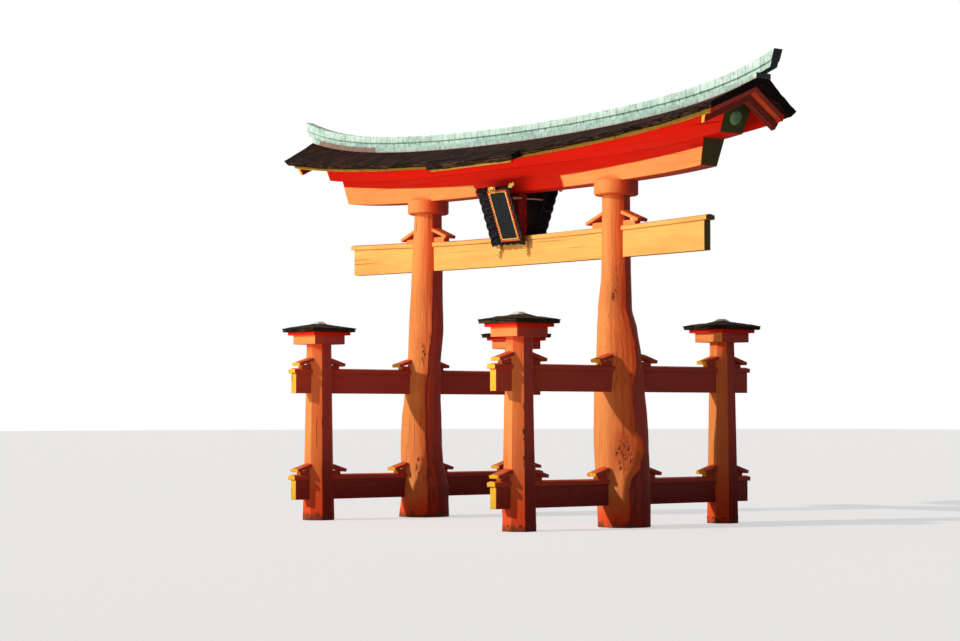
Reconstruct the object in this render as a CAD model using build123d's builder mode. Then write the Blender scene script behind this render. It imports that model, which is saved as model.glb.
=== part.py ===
from build123d import *
from math import atan, cos, degrees, pi, radians, sin, sqrt, tan
import os

# Great wooden gate standing in shallow water, in millimetres.
# +X runs along the gate, +Y to its back, +Z up. The origin is on the waterline, midway between
# the two trunk pillars. Legs are cut off where they meet the water.

# Trunk pillars: each runs from pillar_foot_x at the water to pillar_top_x under its ring
pillar_foot_x = 5250
pillar_top_x = 4890
pillar_height = 10740
# Sections of each natural trunk: height, drift outwards from the straight axis, radius
trunk_left = (
    (0, -170, 895), (1050, -185, 850), (1950, 20, 750), (2600, 90, 740), (3500, 107, 712),
    (5500, 20, 588), (6600, -54, 622), (8300, -43, 562), (pillar_height, -23, 490),
)
trunk_right = (
    (0, 20, 862), (1850, 6, 902), (4450, -60, 836), (5550, -30, 740),
    (6400, -76, 655), (7050, -155, 556), (8200, -62, 486), (pillar_height, 20, 461),
)
round_sides = 20        # sides of every round section
trunk_lobes = 0.012     # share of the radius by which a trunk's section swells and shrinks
ring_radius = 730
ring_edge = 55
ring_height = 425

# Octagonal side posts, one in front of and one behind each pillar
side_x = pillar_foot_x + 30
side_y = 4500
side_height = 6040
side_foot_flats = 1040
side_knee_flats = 920
side_knee_height = 2300
side_top_flats = 810

# Capital block, eave board and little roof on each side post
capital_half = 636
capital_height = 310
eave_board_half = 775
eave_board_height = 110
post_roof_half = 940
post_roof_edge = 125
post_roof_rise = 190
post_roof_tip_half = 45
post_roof_lip = 45

# Tie beams of the side frames: two levels, each with a pitched cap board
tie_width = 285
tie_depth = 683
tie_overhang = 1070
tie_upper_drop = 1690
tie_lower_z = 710
tie_upper_z = side_height - tie_upper_drop
cap_width = 390
cap_edge = 135
cap_peak = 178
cap_overhang = 85

# Wedges driven above each cap and the sloping slabs that shed water from them
wedge_width = 210
wedge_height = 165
wedge_reach = 380
slab_width = 450
slab_edge = 105
slab_peak = 140
slab_reach = 545
slab_slope = 17
slab_housing = 45

# Main tie beam through both pillars, gently bowed upwards at its ends
main_tie_half = 9060
main_tie_width = 280
main_tie_drop = 2040
main_tie_depth = 830
main_tie_bottom = pillar_height - main_tie_drop
main_tie_top = main_tie_bottom + main_tie_depth
main_tie_bottom_bow = 50
main_tie_top_bow = 165
main_cap_half = main_tie_half + 140
main_wedge_width = 250
main_wedge_height = 190
main_wedge_reach = 540
main_slab_reach = 740
main_slab_slope = 21

# Lower lintel
lower_bottom = pillar_height + ring_height
lower_depth = 825
lower_bottom_lift = 220
lower_setback = 976
lower_bottom_half = 363
lower_top_half = 465
lower_lean = 0.277

# Upper lintel, which carries the roof on its pitched top
upper_bottom = lower_bottom + lower_depth
upper_bottom_lift = 333
upper_setback = 1991
upper_bottom_half = 497
upper_top_half = 590
upper_lean = 0.40

# Roof: the ridge rises towards both ends by sweep_gentle and then sharply by sweep_sharp
ridge_half = 12100
sweep_gentle = 720
sweep_sharp = 550
ridge_foot_rise = 900
ridge_foot_z = upper_bottom + ridge_foot_rise
ridge_foot_share = 0.93
ridge_height = 550
ridge_top_z = ridge_foot_z + ridge_height
ridge_base_half = 325
ridge_base_height = 170
ridge_base_setback = 620
ridge_body_half = 165
ridge_body_height = 250
ridge_cap_half = 192
ridge_lean = 0.38
bark_centre_thickness = 130
eave_drop = 740
eave_low_z = ridge_foot_z - eave_drop
eave_gentle = 780
eave_sharp = 150
eave_low_half = 1760
eave_top_half = 1900
eave_edge_height = 150
verge_setback = 1020
verge_lean = 0.459

# Boards under the roof
eave_strip_show = 55
eave_strip_z = eave_low_z - eave_strip_show
strip_gentle = 740
strip_sharp = 160
eave_strip_in = 1500
eave_strip_out = 1620
soffit_thickness = 40
gable_board_setback = 180
gable_upper_thickness = 165
gable_lower_thickness = 135
gable_upper_depth = 130
gable_upper_foot = 150
gable_lower_depth = 215
gable_lower_foot = 375
gable_lower_end = 1615
gable_nose = 60
gable_reach = 2600
disc_radius = 245
disc_thickness = 50
disc_rise = 458

# Drop-down eave over the name board, front and back alike
porch_half = 2250
porch_reach = 350
porch_top_y = eave_top_half + porch_reach
porch_low_y = porch_top_y - 100
porch_edge = 170
porch_top_z = eave_low_z
porch_low_z = porch_top_z - porch_edge
porch_strip_out = porch_low_y - 40
porch_strip_in = porch_strip_out - 120
porch_strip_drop = 55
porch_strip_inset = 150

# Centre strut and the two name boards that lean out from it
strut_half_x = 270
strut_half_y = 188
board_lean = 20.5
board_centre_y = -775
board_rise = 780
board_centre_z = main_tie_top + board_rise
board_width = 1730
board_length = 2100
board_recess = 180
board_wall = 70
panel_width = 1000
panel_length = 1840
panel_thickness = 60
panel_border = 110
panel_border_height = 35
stay_half = 22
stay_x = 430
stay_rise = 650
stay_z = board_centre_z + stay_rise
bracket_size = 60
bracket_reach = 330

overlap = 60          # extra length on a piece that is then trimmed by its neighbour

# Ends of the members under the ridge, each set back from the one above
ridge_base_end = ridge_half - ridge_base_setback
verge_eave_x = ridge_half - verge_setback
upper_end_x = ridge_half - upper_setback
lower_end_x = upper_end_x - lower_setback

# Places of the sections through all curved long members, closer together towards the ends
spine_shares = (0.186, 0.347, 0.488, 0.603, 0.702, 0.785, 0.851, 0.909, 0.959)
spine_half = [ridge_half * share for share in spine_shares] + [ridge_half + overlap]
spine = [-x for x in reversed(spine_half)] + [0] + spine_half

os.makedirs("parts", exist_ok=True)


def save(part_builder, name):
    """Labels a finished piece and writes it."""
    part_builder.part.label = name
    export_step(part_builder.part, f"parts/{name}.step")


def sweep_rise(x, gentle=sweep_gentle, sharp=sweep_sharp):
    """How far a swept line, by default the ridge's, has risen at x."""
    t = x / ridge_half
    return gentle * t**2 + sharp * t**6


def ridge_foot(x):
    return ridge_foot_z + ridge_foot_share * sweep_rise(x)


def ridge_top(x):
    return ridge_top_z + sweep_rise(x)


def eave_low(x):
    return eave_low_z + sweep_rise(x, eave_gentle, eave_sharp)


def underside(x, y):
    """Height of the roof's underside, a straight slope from the centre to the eave."""
    apex = ridge_foot(x) - bark_centre_thickness
    return apex + (eave_low(x) - apex) * abs(y) / eave_low_half


def trunk_axis(z):
    return pillar_foot_x + (pillar_top_x - pillar_foot_x) * z / pillar_height


def trunk_at(trunk, z):
    """Distance of the trunk's centre from the gate's middle, and its radius, at height z."""
    for (z0, drift0, r0), (z1, drift1, r1) in zip(trunk, trunk[1:]):
        if z <= z1:
            t = (z - z0) / (z1 - z0)
            return trunk_axis(z) + drift0 + t * (drift1 - drift0), r0 + t * (r1 - r0)
    return trunk_axis(z) + trunk[-1][1], trunk[-1][2]


def trunk_section(radius):
    """Points round a trunk's section, slightly lobed as a natural trunk is."""
    turns = [2 * pi * i / round_sides for i in range(round_sides)]
    swell = [radius * (1 + trunk_lobes * sin(3 * a)) for a in turns]
    return [(r * cos(a), r * sin(a)) for r, a in zip(swell, turns)]


def pitched(width, edge, peak):
    """Board section with a slightly pitched top, standing on its local X axis."""
    Polygon(
        (-width / 2, 0), (width / 2, 0), (width / 2, edge), (0, peak), (-width / 2, edge),
        align=None,
    )


def pyramid(width, length, far_width, far_length, rise, mode=Mode.ADD):
    """Cut-off pyramid on the local XY plane, narrowing upwards, or downwards if `rise` is
    negative."""
    Wedge(
        width, abs(rise), length, (width - far_width) / 2, (length - far_length) / 2,
        (width + far_width) / 2, (length + far_length) / 2,
        rotation=(90 if rise > 0 else -90, 0, 0),
        align=(Align.CENTER, Align.MIN, Align.CENTER), mode=mode,
    )


def tie_beam(x, z, mode=Mode.ADD):
    """Side tie beam, running along Y through all three uprights."""
    with BuildSketch(Plane.XZ) as section:
        with Locations((x, z + tie_depth / 2)):
            Rectangle(tie_width, tie_depth)
    extrude(section.sketch, amount=side_y + tie_overhang, both=True, mode=mode)


def tie_cap(x, z, mode=Mode.ADD):
    """Cap board lying on a side tie beam."""
    with BuildSketch(Plane.XZ) as section:
        with Locations((x, z + tie_depth)):
            pitched(cap_width, cap_edge, cap_peak)
    extrude(section.sketch, amount=side_y + tie_overhang + cap_overhang, both=True, mode=mode)


def wedge_along_y(x, y, z, reach, mode=Mode.ADD):
    """Wedge through an upright, standing on the cap board."""
    with Locations((x, y, z + tie_depth + cap_edge)):
        Box(wedge_width, 2 * reach, wedge_height,
            align=(Align.CENTER, Align.CENTER, Align.MIN), mode=mode)


def slab(origin, outward, start, reach, slope, mode=Mode.ADD):
    """Sloping slab along the flat direction `outward`, from `start` to `reach` away from the
    upright's axis. `origin` is on that axis, at the height where the slab's underside starts."""
    run = Vector(*outward, 0)
    down = run * cos(radians(slope)) - Vector(0, 0, 1) * sin(radians(slope))
    side = Vector(0, 0, 1).cross(run)
    with BuildSketch(Plane(origin=Vector(*origin) + run * start, x_dir=side, z_dir=down)) as section:
        pitched(slab_width, slab_edge, slab_peak)
    extrude(section.sketch, amount=(reach - start) / cos(radians(slope)), mode=mode)


def side_slabs(x, y, z, half, mode=Mode.ADD):
    """The two slabs on either side of an upright whose face is `half` from its centre line.
    Each touches the top outer corner of its wedge."""
    corner_z = z + tie_depth + cap_edge + wedge_height
    start = half - slab_housing
    start_z = corner_z + (half + wedge_reach - start) * tan(radians(slab_slope))
    for way in (-1, 1):
        slab((x, y, start_z), (0, way), start, half + slab_reach, slab_slope, mode=mode)


def cut_joints_along_y(x, y, halves):
    """Mortises for both tie beams, their caps, wedges and slabs in one upright."""
    for z, half in zip((tie_lower_z, tie_upper_z), halves):
        tie_beam(x, z, mode=Mode.SUBTRACT)
        tie_cap(x, z, mode=Mode.SUBTRACT)
        wedge_along_y(x, y, z, half + wedge_reach, mode=Mode.SUBTRACT)
        side_slabs(x, y, z, half, mode=Mode.SUBTRACT)


def side_half(z):
    """Half the width over flats of a side post at height z."""
    if z < side_knee_height:
        share = z / side_knee_height
        return (side_foot_flats + share * (side_knee_flats - side_foot_flats)) / 2
    share = (z - side_knee_height) / (side_height - side_knee_height)
    return (side_knee_flats + share * (side_top_flats - side_knee_flats)) / 2


def pillar_half(trunk, z):
    """Half chord of a trunk along Y, measured in the plane of the side tie beams."""
    centre, radius = trunk_at(trunk, z)
    return sqrt(radius**2 - (side_x - centre) ** 2)


def slab_height(z):
    return z + tie_depth + cap_edge + wedge_height


def main_tie(mode=Mode.ADD):
    """Main tie beam: bowed outline extruded across its thickness."""
    low_end = main_tie_bottom + main_tie_bottom_bow
    top_end = main_tie_top + main_tie_top_bow
    with BuildSketch(Plane.XZ) as outline:
        with BuildLine():
            ThreePointArc((-main_tie_half, low_end), (0, main_tie_bottom), (main_tie_half, low_end))
            Line((main_tie_half, low_end), (main_tie_half, top_end))
            ThreePointArc((main_tie_half, top_end), (0, main_tie_top), (-main_tie_half, top_end))
            Line((-main_tie_half, top_end), (-main_tie_half, low_end))
        make_face()
    extrude(outline.sketch, amount=main_tie_width / 2, both=True, mode=mode)


def main_cap_rise(x):
    """Rise of the main tie beam's top at x, on the arc through its ends."""
    radius = (main_tie_half**2 + main_tie_top_bow**2) / (2 * main_tie_top_bow)
    return radius - sqrt(radius**2 - x**2)


def main_cap(mode=Mode.ADD):
    """Cap board bent along the top of the main tie beam."""
    end = main_tie_top + main_cap_rise(main_cap_half)
    with BuildLine() as path:
        ThreePointArc((-main_cap_half, 0, end), (0, 0, main_tie_top), (main_cap_half, 0, end))
    with BuildSketch(Plane(origin=path.line @ 0, x_dir=(0, 1, 0), z_dir=path.line % 0)) as section:
        pitched(cap_width, cap_edge, cap_peak)
    sweep(section.sketch, path=path.line, mode=mode)


def main_joint(way, trunk, mode=Mode.ADD, wedges=True, slabs=True):
    """Wedge and slabs of the main tie beam at the pillar on side `way`."""
    base = main_tie_top + main_cap_rise(pillar_top_x) + cap_edge
    centre, radius = trunk_at(trunk, base)
    if wedges:
        with Locations((way * centre, 0, base)):
            Box(2 * (radius + main_wedge_reach), main_wedge_width, main_wedge_height,
                align=(Align.CENTER, Align.CENTER, Align.MIN), mode=mode)
    if slabs:
        start = radius - slab_housing
        start_z = base + main_wedge_height
        start_z += (radius + main_wedge_reach - start) * tan(radians(main_slab_slope))
        for side in (-1, 1):
            slab((way * centre, 0, start_z), (side, 0), start, radius + main_slab_reach,
                 main_slab_slope, mode=mode)


def long_member(outline, start=-ridge_half, end=ridge_half):
    """Lofts one closed outline, given as a function of x, through the spine's stations between
    `start` and `end` and one beyond each. Members that share these stations fit face to face."""
    low = max(i for i, x in enumerate(spine) if x <= start)
    high = min(i for i, x in enumerate(spine) if x >= end)
    sections = []
    for x in spine[low:high + 1]:
        with BuildSketch(Plane.YZ.offset(x)) as section:
            Polygon(*outline(x), align=None)
        sections.append(section.sketch)
    loft(sections, ruled=True)


def slanted_end(x, z, lean, facing=1):
    """Cuts off what lies beyond the plane through (x, z) that leans outwards by `lean` per unit
    of height; `facing` -1 cuts off what lies before it."""
    way = 1 if x > 0 else -1
    plane = Plane(origin=(x, 0, z), z_dir=(way * facing, 0, -lean * facing))
    split(bisect_by=plane, keep=Keep.BOTTOM)


def slanted_ends(x, z, lean):
    for way in (-1, 1):
        slanted_end(way * x, z, lean)


def mirrored(outline):
    """Closes a half outline, given from the bottom up on +Y, with its mirror image."""
    return outline + [(-y, z) for y, z in reversed(outline) if y > 0]


def lintel_joint(x):
    """Height of the joint between the two lintels."""
    return upper_bottom + (x / upper_end_x) ** 4 * upper_bottom_lift


# Bark roof: thick layered bark, cut off square to its slope at the verges
def bark_outline(x):
    return mirrored([
        (0, underside(x, 0)),
        (eave_low_half, eave_low(x)),
        (eave_top_half, eave_low(x) + eave_edge_height),
        (ridge_base_half, ridge_foot(x)),
    ])


def porch_underside(y):
    inner = underside(0, eave_strip_out)
    return inner + (porch_low_z - inner) * (y - eave_strip_out) / (porch_low_y - eave_strip_out)


verge_z = eave_low(verge_eave_x) + eave_edge_height
with BuildPart() as bark_roof:
    long_member(bark_outline)
    slanted_ends(verge_eave_x, verge_z, verge_lean)
    for way in (-1, 1):
        with BuildSketch(Plane.YZ):
            Polygon(
                (way * eave_strip_out, porch_underside(eave_strip_out)),
                (way * porch_low_y, porch_low_z),
                (way * porch_top_y, porch_top_z),
                (way * eave_top_half, eave_low_z + eave_edge_height),
                (way * eave_strip_out, eave_low_z + eave_edge_height),
                align=None,
            )
        extrude(amount=porch_half, both=True)
save(bark_roof, "bark_roof")


# Lower lintel
def lower_outline(x):
    lift = (x / lower_end_x) ** 4 * lower_bottom_lift
    return mirrored([(lower_bottom_half, lower_bottom + lift), (lower_top_half, lintel_joint(x))])


with BuildPart() as lower_lintel:
    long_member(lower_outline, -upper_end_x, upper_end_x)
    slanted_ends(lower_end_x, lower_bottom + lower_bottom_lift, lower_lean)
save(lower_lintel, "lower_lintel")


# Upper lintel, whose pitched top follows the underside of the roof
def upper_outline(x):
    return mirrored([
        (upper_bottom_half, lintel_joint(x)),
        (upper_top_half, underside(x, upper_top_half)),
        (0, underside(x, 0)),
    ])


with BuildPart() as upper_lintel:
    long_member(upper_outline)
    slanted_ends(upper_end_x, upper_bottom + upper_bottom_lift, upper_lean)
save(upper_lintel, "upper_lintel")

# Round boss on each end face of the upper lintel
with BuildPart() as lintel_discs:
    for way in (-1, 1):
        rise = disc_rise
        face = Plane(
            origin=(way * (upper_end_x + upper_lean * rise), 0,
                    upper_bottom + upper_bottom_lift + rise),
            x_dir=(0, way, 0), z_dir=(way, 0, -upper_lean),
        )
        with BuildSketch(face):
            RegularPolygon(disc_radius, round_sides)
        extrude(amount=disc_thickness, taper=25)
save(lintel_discs, "lintel_discs")


# Boards closing the roof's underside between the upper lintel and each eave
def soffit_outline(way):
    corners = ((upper_top_half, soffit_thickness), (eave_strip_in, soffit_thickness),
               (eave_strip_in, 0), (upper_top_half, 0))
    return lambda x: [(way * y, underside(x, y) - drop) for y, drop in corners]


gable_outer_x = verge_eave_x - gable_board_setback
gable_step_x = gable_outer_x - gable_upper_thickness
gable_inner_x = gable_step_x - gable_lower_thickness

with BuildPart() as soffit_boards:
    for way in (-1, 1):
        long_member(soffit_outline(way))
    slanted_ends(gable_inner_x, verge_z, verge_lean)
save(soffit_boards, "soffit_boards")


# Eave boards under the lip of the bark and under the porch
def strip_low(x):
    return eave_strip_z + sweep_rise(x, strip_gentle, strip_sharp)


def strip_outline(way):
    return lambda x: [
        (way * eave_strip_in, strip_low(x)), (way * eave_strip_out, strip_low(x)),
        (way * eave_strip_out, underside(x, eave_strip_out)),
        (way * eave_strip_in, underside(x, eave_strip_in)),
    ]


with BuildPart() as eave_boards:
    for way in (-1, 1):
        long_member(strip_outline(way))
        with BuildSketch(Plane.YZ):
            Polygon(
                (way * porch_strip_in, porch_low_z - porch_strip_drop),
                (way * porch_strip_out, porch_low_z - porch_strip_drop),
                (way * porch_strip_out, porch_underside(porch_strip_out)),
                (way * porch_strip_in, porch_underside(porch_strip_in)),
                align=None,
            )
        extrude(amount=porch_half - porch_strip_inset, both=True)
    slanted_ends(gable_outer_x, verge_z, verge_lean)
save(eave_boards, "eave_boards")


# Gable boards: an upper board under the bark and a deeper one stepped back beneath it
def gable_upper_outline(x):
    return mirrored([
        (0, underside(x, 0) - gable_upper_depth),
        (eave_strip_in, underside(x, eave_strip_in) - gable_upper_foot),
        (eave_strip_in, underside(x, eave_strip_in)),
        (0, underside(x, 0)),
    ])


def gable_lower_outline(x):
    return mirrored([
        (0, underside(x, 0) - gable_upper_depth - gable_lower_depth),
        (gable_lower_end - gable_nose, underside(x, gable_lower_end - gable_nose) - gable_lower_foot),
        (gable_lower_end, strip_low(x) - gable_nose),
        (gable_lower_end, strip_low(x)),
        (eave_strip_in, strip_low(x)),
        (eave_strip_in, underside(x, eave_strip_in) - gable_upper_foot / 2),
        (0, underside(x, 0) - gable_upper_depth / 2),
    ])


for side_name, way in (("left", -1), ("right", 1)):
    reach = (way * (ridge_half - gable_reach), way * ridge_half)
    with BuildPart() as gable_boards:
        for outline, outer, inner in (
            (gable_upper_outline, gable_outer_x, gable_step_x),
            (gable_lower_outline, gable_step_x, gable_inner_x),
        ):
            with BuildPart(mode=Mode.PRIVATE) as board:
                long_member(outline, min(reach), max(reach))
                slanted_end(way * outer, verge_z, verge_lean)
                slanted_end(way * inner, verge_z, verge_lean, facing=-1)
            add(board.part)
    save(gable_boards, f"gable_boards_{side_name}")


# Copper-clad ridge in three courses
def course(half, low, high):
    """Outline function of one straight-sided course of the ridge."""
    return lambda x: mirrored([(half, low(x)), (half, high(x))])


def base_top(x):
    return ridge_foot(x) + ridge_base_height


def body_top(x):
    return base_top(x) + ridge_body_height


with BuildPart() as ridge_base:
    long_member(course(ridge_base_half, ridge_foot, base_top))
    slanted_ends(ridge_base_end, base_top(ridge_base_end), 0)
save(ridge_base, "ridge_base")

for name, half, low, high in (
    ("ridge_body", ridge_body_half, base_top, body_top),
    ("ridge_cap", ridge_cap_half, body_top, ridge_top),
):
    with BuildPart() as ridge_course:
        long_member(course(half, low, high))
        slanted_ends(ridge_half, ridge_top(ridge_half), ridge_lean)
    save(ridge_course, name)

# Main tie beam, its cap, wedges and slabs
with BuildPart() as main_tie_beam:
    main_tie()
save(main_tie_beam, "main_tie_beam")

with BuildPart() as main_tie_cap:
    main_cap()
save(main_tie_cap, "main_tie_cap")

with BuildPart() as main_wedges:
    for way, trunk in ((-1, trunk_left), (1, trunk_right)):
        main_joint(way, trunk, slabs=False)
    add(main_tie_cap.part, mode=Mode.SUBTRACT)
save(main_wedges, "main_wedges")

with BuildPart() as main_slabs:
    for way, trunk in ((-1, trunk_left), (1, trunk_right)):
        main_joint(way, trunk, wedges=False)
save(main_slabs, "main_slabs")

# Trunk pillars and their rings
for side_name, way, trunk in (("left", -1, trunk_left), ("right", 1, trunk_right)):
    with BuildPart() as pillar:
        for z, _, radius in trunk:
            centre, _ = trunk_at(trunk, z)
            with BuildSketch(Plane.XY.offset(z)):
                with Locations((way * centre, 0)):
                    Polygon(*trunk_section(radius), align=None)
        loft(ruled=True)
        halves = [pillar_half(trunk, slab_height(z)) for z in (tie_lower_z, tie_upper_z)]
        cut_joints_along_y(way * side_x, 0, halves)
        main_tie(mode=Mode.SUBTRACT)
        main_cap(mode=Mode.SUBTRACT)
        main_joint(way, trunk, mode=Mode.SUBTRACT)
    save(pillar, f"main_pillar_{side_name}")

    with BuildPart() as ring:
        centre, _ = trunk_at(trunk, pillar_height)
        with BuildSketch(Plane.XY.offset(pillar_height)):
            with Locations((way * centre, 0)):
                RegularPolygon(ring_radius, round_sides)
        extrude(amount=lower_bottom - pillar_height + overlap)
        chamfer(ring.faces().sort_by(Axis.Z)[0].edges(), ring_edge)
        add(lower_lintel.part, mode=Mode.SUBTRACT)
    save(ring, f"pillar_ring_{side_name}")

# Side frames: tie beams, caps, wedges and slabs
for side_name, way, trunk in (("left", -1, trunk_left), ("right", 1, trunk_right)):
    x = way * side_x
    with BuildPart() as upper_tie:
        tie_beam(x, tie_upper_z)
    save(upper_tie, f"upper_tie_{side_name}")
    with BuildPart() as lower_tie:
        tie_beam(x, tie_lower_z)
    save(lower_tie, f"lower_tie_{side_name}")

    with BuildPart() as caps:
        for z in (tie_lower_z, tie_upper_z):
            tie_cap(x, z)
    save(caps, f"tie_caps_{side_name}")

    uprights = []
    for z in (tie_lower_z, tie_upper_z):
        top = slab_height(z)
        uprights += [(0, z, pillar_half(trunk, top))]
        uprights += [(y, z, side_half(top)) for y in (-side_y, side_y)]

    with BuildPart() as wedges:
        for y, z, half in uprights:
            wedge_along_y(x, y, z, half + wedge_reach)
        add(caps.part, mode=Mode.SUBTRACT)
    save(wedges, f"tie_wedges_{side_name}")

    with BuildPart() as slabs:
        for y, z, half in uprights:
            side_slabs(x, y, z, half)
    save(slabs, f"tie_slabs_{side_name}")

# Side posts with their capitals and roofs
corners = (("front_left", -1, -1), ("front_right", 1, -1), ("back_left", -1, 1), ("back_right", 1, 1))
for corner_name, sx, sy in corners:
    x, y = sx * side_x, sy * side_y
    with BuildPart() as post:
        for z, flats, top_z, top_flats in (
            (0, side_foot_flats, side_knee_height, side_knee_flats),
            (side_knee_height, side_knee_flats, side_height, side_top_flats),
        ):
            with BuildSketch(Plane.XY.offset(z)):
                with Locations((x, y)):
                    RegularPolygon(flats / 2, 8, major_radius=False, rotation=22.5)
            extrude(amount=top_z - z, taper=degrees(atan((flats - top_flats) / 2 / (top_z - z))))
        cut_joints_along_y(x, y, [side_half(slab_height(z)) for z in (tie_lower_z, tie_upper_z)])
    save(post, f"side_post_{corner_name}")

board_z = side_height + capital_height
roof_z = board_z + eave_board_height
for name, base, half, height in (
    ("post_capitals", side_height, capital_half, capital_height),
    ("post_eave_boards", board_z, eave_board_half, eave_board_height),
):
    with BuildPart() as blocks:
        with Locations(*[(sx * side_x, sy * side_y, base) for _, sx, sy in corners]):
            Box(2 * half, 2 * half, height, align=(Align.CENTER, Align.CENTER, Align.MIN))
    save(blocks, name)

for corner_name, sx, sy in corners:
    with BuildPart() as post_roof:
        with Locations((sx * side_x, sy * side_y, roof_z + post_roof_edge)):
            pyramid(2 * post_roof_half, 2 * post_roof_half, 2 * post_roof_tip_half,
                    2 * post_roof_tip_half, post_roof_rise)
            lip = 2 * (post_roof_half - post_roof_lip)
            pyramid(2 * post_roof_half, 2 * post_roof_half, lip, lip, -post_roof_edge)
    save(post_roof, f"post_roof_{corner_name}")

# Centre strut between the main tie beam and the lower lintel
with BuildPart() as centre_strut:
    with BuildSketch(Plane.XY.offset(main_tie_top + cap_edge)):
        Rectangle(2 * strut_half_x, 2 * strut_half_y)
    extrude(amount=lower_bottom - main_tie_top)
    add(main_tie_cap.part, mode=Mode.SUBTRACT)
    add(lower_lintel.part, mode=Mode.SUBTRACT)
save(centre_strut, "centre_strut")

# Name boards: a recessed panel in a frame whose four sides flare out towards the front
lean_back = radians(board_lean)
board_normal = Vector(0, -cos(lean_back), -sin(lean_back))
rim_centre = Vector(0, board_centre_y, board_centre_z)
panel_centre = rim_centre - board_normal * board_recess


def board_plane(centre):
    """Plane of the leaning board with local Z out of its face."""
    return Plane(origin=centre, x_dir=(1, 0, 0), z_dir=board_normal)


with BuildPart() as board_frame_front:
    with Locations(board_plane(rim_centre).location):
        for shrink, mode in ((0, Mode.ADD), (2 * board_wall, Mode.SUBTRACT)):
            pyramid(board_width - shrink, board_length - shrink,
                    panel_width + 2 * board_wall - shrink, panel_length + 2 * board_wall - shrink,
                    -board_recess, mode=mode)
save(board_frame_front, "board_frame_front")

with BuildPart() as board_panel_front:
    with BuildSketch(board_plane(panel_centre)):
        Rectangle(panel_width + 2 * board_wall, panel_length + 2 * board_wall)
    extrude(amount=-panel_thickness)
save(board_panel_front, "board_panel_front")

with BuildPart() as board_border_front:
    with BuildSketch(board_plane(panel_centre)):
        Rectangle(panel_width - 10, panel_length - 10)
        Rectangle(panel_width - 2 * panel_border, panel_length - 2 * panel_border, mode=Mode.SUBTRACT)
    extrude(amount=panel_border_height)
save(board_border_front, "board_border_front")

for front, name in ((board_frame_front, "board_frame_back"), (board_panel_front, "board_panel_back"),
                    (board_border_front, "board_border_back")):
    with BuildPart() as back:
        mirror(front.part, about=Plane.XZ)
    save(back, name)

# Stays that hold the name boards off the strut and the main tie beam
with BuildPart() as board_stays:
    with BuildSketch(Plane.XZ.offset(strut_half_y)):
        with Locations((0, stay_z)):
            Rectangle(2 * (stay_x + stay_half), 2 * stay_half)
    extrude(amount=2 * stay_half)
    with BuildSketch(Plane.XZ.offset(strut_half_y)):
        with Locations((-stay_x, stay_z), (stay_x, stay_z)):
            Rectangle(2 * stay_half, 2 * stay_half)
    extrude(amount=-board_centre_y)
    with BuildSketch(Plane.XZ.offset(main_tie_width / 2)):
        with Locations((-stay_x, main_tie_top - bracket_size / 2),
                       (stay_x, main_tie_top - bracket_size / 2)):
            Rectangle(bracket_size, bracket_size)
    extrude(amount=bracket_reach - main_tie_width / 2)
    split(bisect_by=board_plane(panel_centre - board_normal * panel_thickness), keep=Keep.BOTTOM)
    add(board_frame_front.part, mode=Mode.SUBTRACT)
    mirror(about=Plane.XZ)
save(board_stays, "board_stays")
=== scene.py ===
import math

import bmesh
import bpy
from mathutils import Matrix, Vector, noise


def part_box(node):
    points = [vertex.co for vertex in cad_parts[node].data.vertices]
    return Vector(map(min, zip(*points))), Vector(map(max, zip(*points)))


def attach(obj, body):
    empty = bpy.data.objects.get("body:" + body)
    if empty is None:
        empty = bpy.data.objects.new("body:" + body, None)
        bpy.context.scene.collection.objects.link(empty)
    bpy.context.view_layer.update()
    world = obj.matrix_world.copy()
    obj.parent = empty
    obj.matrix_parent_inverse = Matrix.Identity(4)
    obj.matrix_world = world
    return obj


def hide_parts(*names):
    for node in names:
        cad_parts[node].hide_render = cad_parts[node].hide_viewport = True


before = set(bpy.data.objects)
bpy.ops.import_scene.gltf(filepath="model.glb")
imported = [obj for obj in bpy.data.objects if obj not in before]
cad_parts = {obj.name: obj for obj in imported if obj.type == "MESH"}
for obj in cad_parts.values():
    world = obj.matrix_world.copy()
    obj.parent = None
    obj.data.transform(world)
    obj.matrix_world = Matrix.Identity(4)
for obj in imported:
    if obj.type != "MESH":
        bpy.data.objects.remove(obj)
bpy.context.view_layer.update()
scene = bpy.context.scene

# Wooden gate over shallow water, in metres: +X along it, +Y to its back, +Z up

# Driving sizes, as the solids have them
RIDGE_HALF = 12.1
SWEEP_GENTLE, SWEEP_SHARP = 0.72, 0.55
PILLAR_HEIGHT = 10.74
LOWER_BOTTOM = PILLAR_HEIGHT + 0.425
UPPER_BOTTOM = LOWER_BOTTOM + 0.825
RIDGE_FOOT = UPPER_BOTTOM + 0.9
RIDGE_TOP = RIDGE_FOOT + 0.55
RIDGE_FOOT_SHARE = 0.93
RIDGE_BASE_HALF, RIDGE_BODY_HALF, RIDGE_CAP_HALF = 0.325, 0.165, 0.192
RIDGE_BASE_HEIGHT, RIDGE_BODY_HEIGHT, RIDGE_CAP_LOW = 0.17, 0.25, 0.16
RIDGE_LEAN = 0.38
RIDGE_BASE_END = RIDGE_HALF - 0.62
EAVE_LOW, EAVE_GENTLE, EAVE_SHARP = RIDGE_FOOT - 0.74, 0.78, 0.15
EAVE_LOW_HALF, EAVE_TOP_HALF, EAVE_EDGE = 1.76, 1.9, 0.15
BARK_CENTRE = 0.13
VERGE_X, VERGE_LEAN = RIDGE_HALF - 1.02, 0.459
SOFFIT_THICKNESS = 0.04
STRIP_IN, STRIP_OUT, STRIP_DEPTH = 1.5, 1.62, 0.055
STRIP_LOW, STRIP_GENTLE, STRIP_SHARP = EAVE_LOW - STRIP_DEPTH, 0.74, 0.16
GABLE_OUTER_X = VERGE_X - 0.18
GABLE_INNER_X = GABLE_OUTER_X - 0.3
PORCH_HALF = 2.25
PORCH_TOP_Y, PORCH_LOW_Y = 2.25, 2.15
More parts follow.
